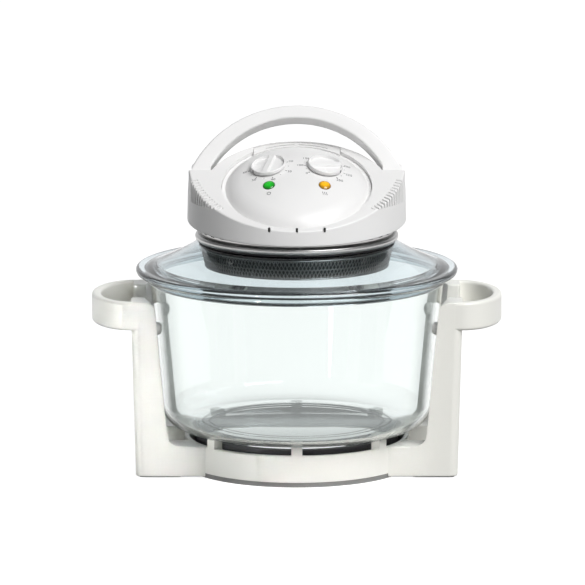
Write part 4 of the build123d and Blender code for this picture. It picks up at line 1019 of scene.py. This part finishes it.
class OVEN_OT_stage(bpy.types.Operator):
    """Set the floor, the light and the camera"""

    bl_idname = "oven.stage"
    bl_label = "Stage"

    def execute(self, context):
        scene = context.scene
        stage = scene.oven_stage
        scene.view_settings.view_transform = "Standard"
        half = 14.0 / MM  # the floor reaches 14 m each way
        corners = [(-half, -half, 0), (half, -half, 0), (half, half, 0), (-half, half, 0)]
        floor = put_mesh("floor", corners, [[0, 1, 2, 3]])
        paper = new_material("floor paper", (0.28, 0.28, 0.28), Roughness=0.6, Emission_Strength=0.0)
        shader = shader_of(paper)
        shader.inputs["Emission Color"].default_value = (1.0, 1.0, 1.0, 1.0)
        tree = paper.node_tree
        rays = tree.nodes.new("ShaderNodeLightPath")
        slope = tree.nodes.new("ShaderNodeSeparateXYZ")
        tree.links.new(tree.nodes.new("ShaderNodeNewGeometry").outputs["Incoming"], slope.inputs[0])
        shallow = spread(paper, slope.outputs[2], 1.0, 0.06, 0.26, 0.6)
        bent = self.join(tree, "MAXIMUM", rays.outputs["Is Transmission Ray"], rays.outputs["Is Glossy Ray"])
        bent = self.join(tree, "MULTIPLY", bent, shallow)
        seen = self.join(tree, "MAXIMUM", rays.outputs["Is Camera Ray"], bent)
        tree.links.new(spread(paper, seen, 0.0, 0.88, 0.0, 1.0), shader.inputs["Emission Strength"])
        coat(floor, paper)
        self.sky(scene, stage.sky)
        self.lamp("key light", (1.5, -2.3, 2.7), (0, 0, 0.15), 2.3, stage.key_power)
        self.lamp("fill light", (-2.6, -1.6, 1.5), (0, 0, 0.15), 1.8, stage.fill_power)
        self.lamp("back light", (0.6, 2.4, 2.2), (0, 0, 0.2), 1.4, stage.fill_power)
        self.low_beam((-0.8, -1.3, 0.2), (-0.075, 0.0, 0.1), stage.stand_power)
        camera = bpy.data.objects.new("camera", bpy.data.cameras.new("camera"))
        scene.collection.objects.link(camera)
        target = Vector((-4.3 * MM, 0.0, 176.8 * MM))
        e, a = stage.elevation, stage.azimuth
        back = Vector((math.sin(a) * math.cos(e), -math.cos(a) * math.cos(e), math.sin(e)))
        camera.location = target + back * stage.distance
        camera.rotation_euler = (-back).to_track_quat("-Z", "Y").to_euler()
        camera.data.sensor_width = 36.0
        camera.data.lens = 36.0 * stage.distance / stage.view_width
        camera.data.clip_start, camera.data.clip_end = 0.1, 60.0
        scene.camera = camera
        return {"FINISHED"}

    def lamp(self, name, spot, target, size, power):
        """A square soft light aimed at the oven."""
        light = bpy.data.lights.new(name, "AREA")
        light.size = size
        light.energy = power
        lamp = bpy.data.objects.new(name, light)
        lamp.location = spot
        lamp.rotation_euler = (Vector(target) - Vector(spot)).to_track_quat("-Z", "Y").to_euler()
        bpy.context.scene.collection.objects.link(lamp)

    def low_beam(self, spot, target, power):
        """A gridded strip near the floor: its narrow beam lights the stand and stays below the head."""
        light = bpy.data.lights.new("stand light", "AREA")
        light.shape = "RECTANGLE"
        light.size, light.size_y = 0.38, 0.19
        light.spread = math.radians(4.0)
        light.energy = power
        lamp = bpy.data.objects.new("stand light", light)
        lamp.location = spot
        lamp.rotation_euler = (Vector(target) - Vector(spot)).to_track_quat("-Z", "Y").to_euler()
        bpy.context.scene.collection.objects.link(lamp)

    def sky(self, scene, brightness):
        """Plain white for the eye; for all else a bright field behind, grey overhead and dim sides.

        What the glass bends sees the dim part as nearly black, which draws its rims as dark lines.
        """
        world = bpy.data.worlds.new("studio")
        world.use_nodes = True
        scene.world = world
        tree = world.node_tree
        background = tree.nodes["Background"]
        axes = tree.nodes.new("ShaderNodeSeparateXYZ")
        tree.links.new(tree.nodes.new("ShaderNodeTexCoord").outputs["Generated"], axes.inputs[0])
        rays = tree.nodes.new("ShaderNodeLightPath")
        dim, dark = (brightness, brightness, brightness, 1.0), (0.02, 0.02, 0.02, 1.0)
        overhead, behind = (0.24, 0.245, 0.25, 1.0), (0.86, 0.87, 0.88, 1.0)
        last = self.mix(tree, rays.outputs["Is Transmission Ray"], dim, dark)
        for axis, start, end, colour in ((2, 0.1, 0.9, overhead), (1, 0.5, 0.9, behind)):
            ramp = tree.nodes.new("ShaderNodeMapRange")
            ramp.interpolation_type = "SMOOTHSTEP"
            ramp.inputs["From Min"].default_value = start
            ramp.inputs["From Max"].default_value = end
            tree.links.new(axes.outputs[axis], ramp.inputs["Value"])
            last = self.mix(tree, ramp.outputs["Result"], last, colour)
        seen = self.mix(tree, rays.outputs["Is Camera Ray"], last, (1.0, 1.0, 1.0, 1.0))
        tree.links.new(seen, background.inputs["Color"])

    def join(self, tree, operation, first, second):
        """One value from two sockets."""
        node = tree.nodes.new("ShaderNodeMath")
        node.operation = operation
        tree.links.new(first, node.inputs[0])
        tree.links.new(second, node.inputs[1])
        return node.outputs[0]

    def mix(self, tree, factor, first, second):
        """A blend of first (a colour or a socket) and a second colour."""
        node = tree.nodes.new("ShaderNodeMix")
        node.data_type = "RGBA"
        if isinstance(first, tuple):
            node.inputs[6].default_value = first
        else:
            tree.links.new(first, node.inputs[6])
        node.inputs[7].default_value = second
        tree.links.new(factor, node.inputs[0])
        return node.outputs[2]


OPERATORS = (
    OVEN_OT_bowl,
    OVEN_OT_lid,
    OVEN_OT_guard,
    OVEN_OT_head,
    OVEN_OT_knobs,
    OVEN_OT_dials,
    OVEN_OT_lamps,
    OVEN_OT_stand,
    OVEN_OT_finish,
    OVEN_OT_stage,
)


class OVEN_PT_parts(bpy.types.Panel):
    """Sizes, colours and the steps that build the oven"""

    bl_label = "Halogen oven"
    bl_space_type = "VIEW_3D"
    bl_region_type = "UI"
    bl_category = "Oven"

    def draw(self, context):
        for group in (context.scene.oven_colours, context.scene.oven_sizes, context.scene.oven_stage):
            box = self.layout.box()
            for name in group.__annotations__:
                box.prop(group, name)
        for operator in OPERATORS:
            self.layout.operator(operator.bl_idname)


CLASSES = (OvenColours, OvenSizes, OvenStage, *OPERATORS, OVEN_PT_parts)


def register():
    for cls in CLASSES:
        bpy.utils.register_class(cls)
    bpy.types.Scene.oven_colours = PointerProperty(type=OvenColours)
    bpy.types.Scene.oven_sizes = PointerProperty(type=OvenSizes)
    bpy.types.Scene.oven_stage = PointerProperty(type=OvenStage)


def unregister():
    for name in ("oven_colours", "oven_sizes", "oven_stage"):
        delattr(bpy.types.Scene, name)
    for cls in reversed(CLASSES):
        bpy.utils.unregister_class(cls)


def main():
    register()
    for operator in OPERATORS:
        getattr(bpy.ops.oven, operator.bl_idname.split(".")[1])()
    bpy.context.view_layer.update()


if __name__ == "__main__":
    main()
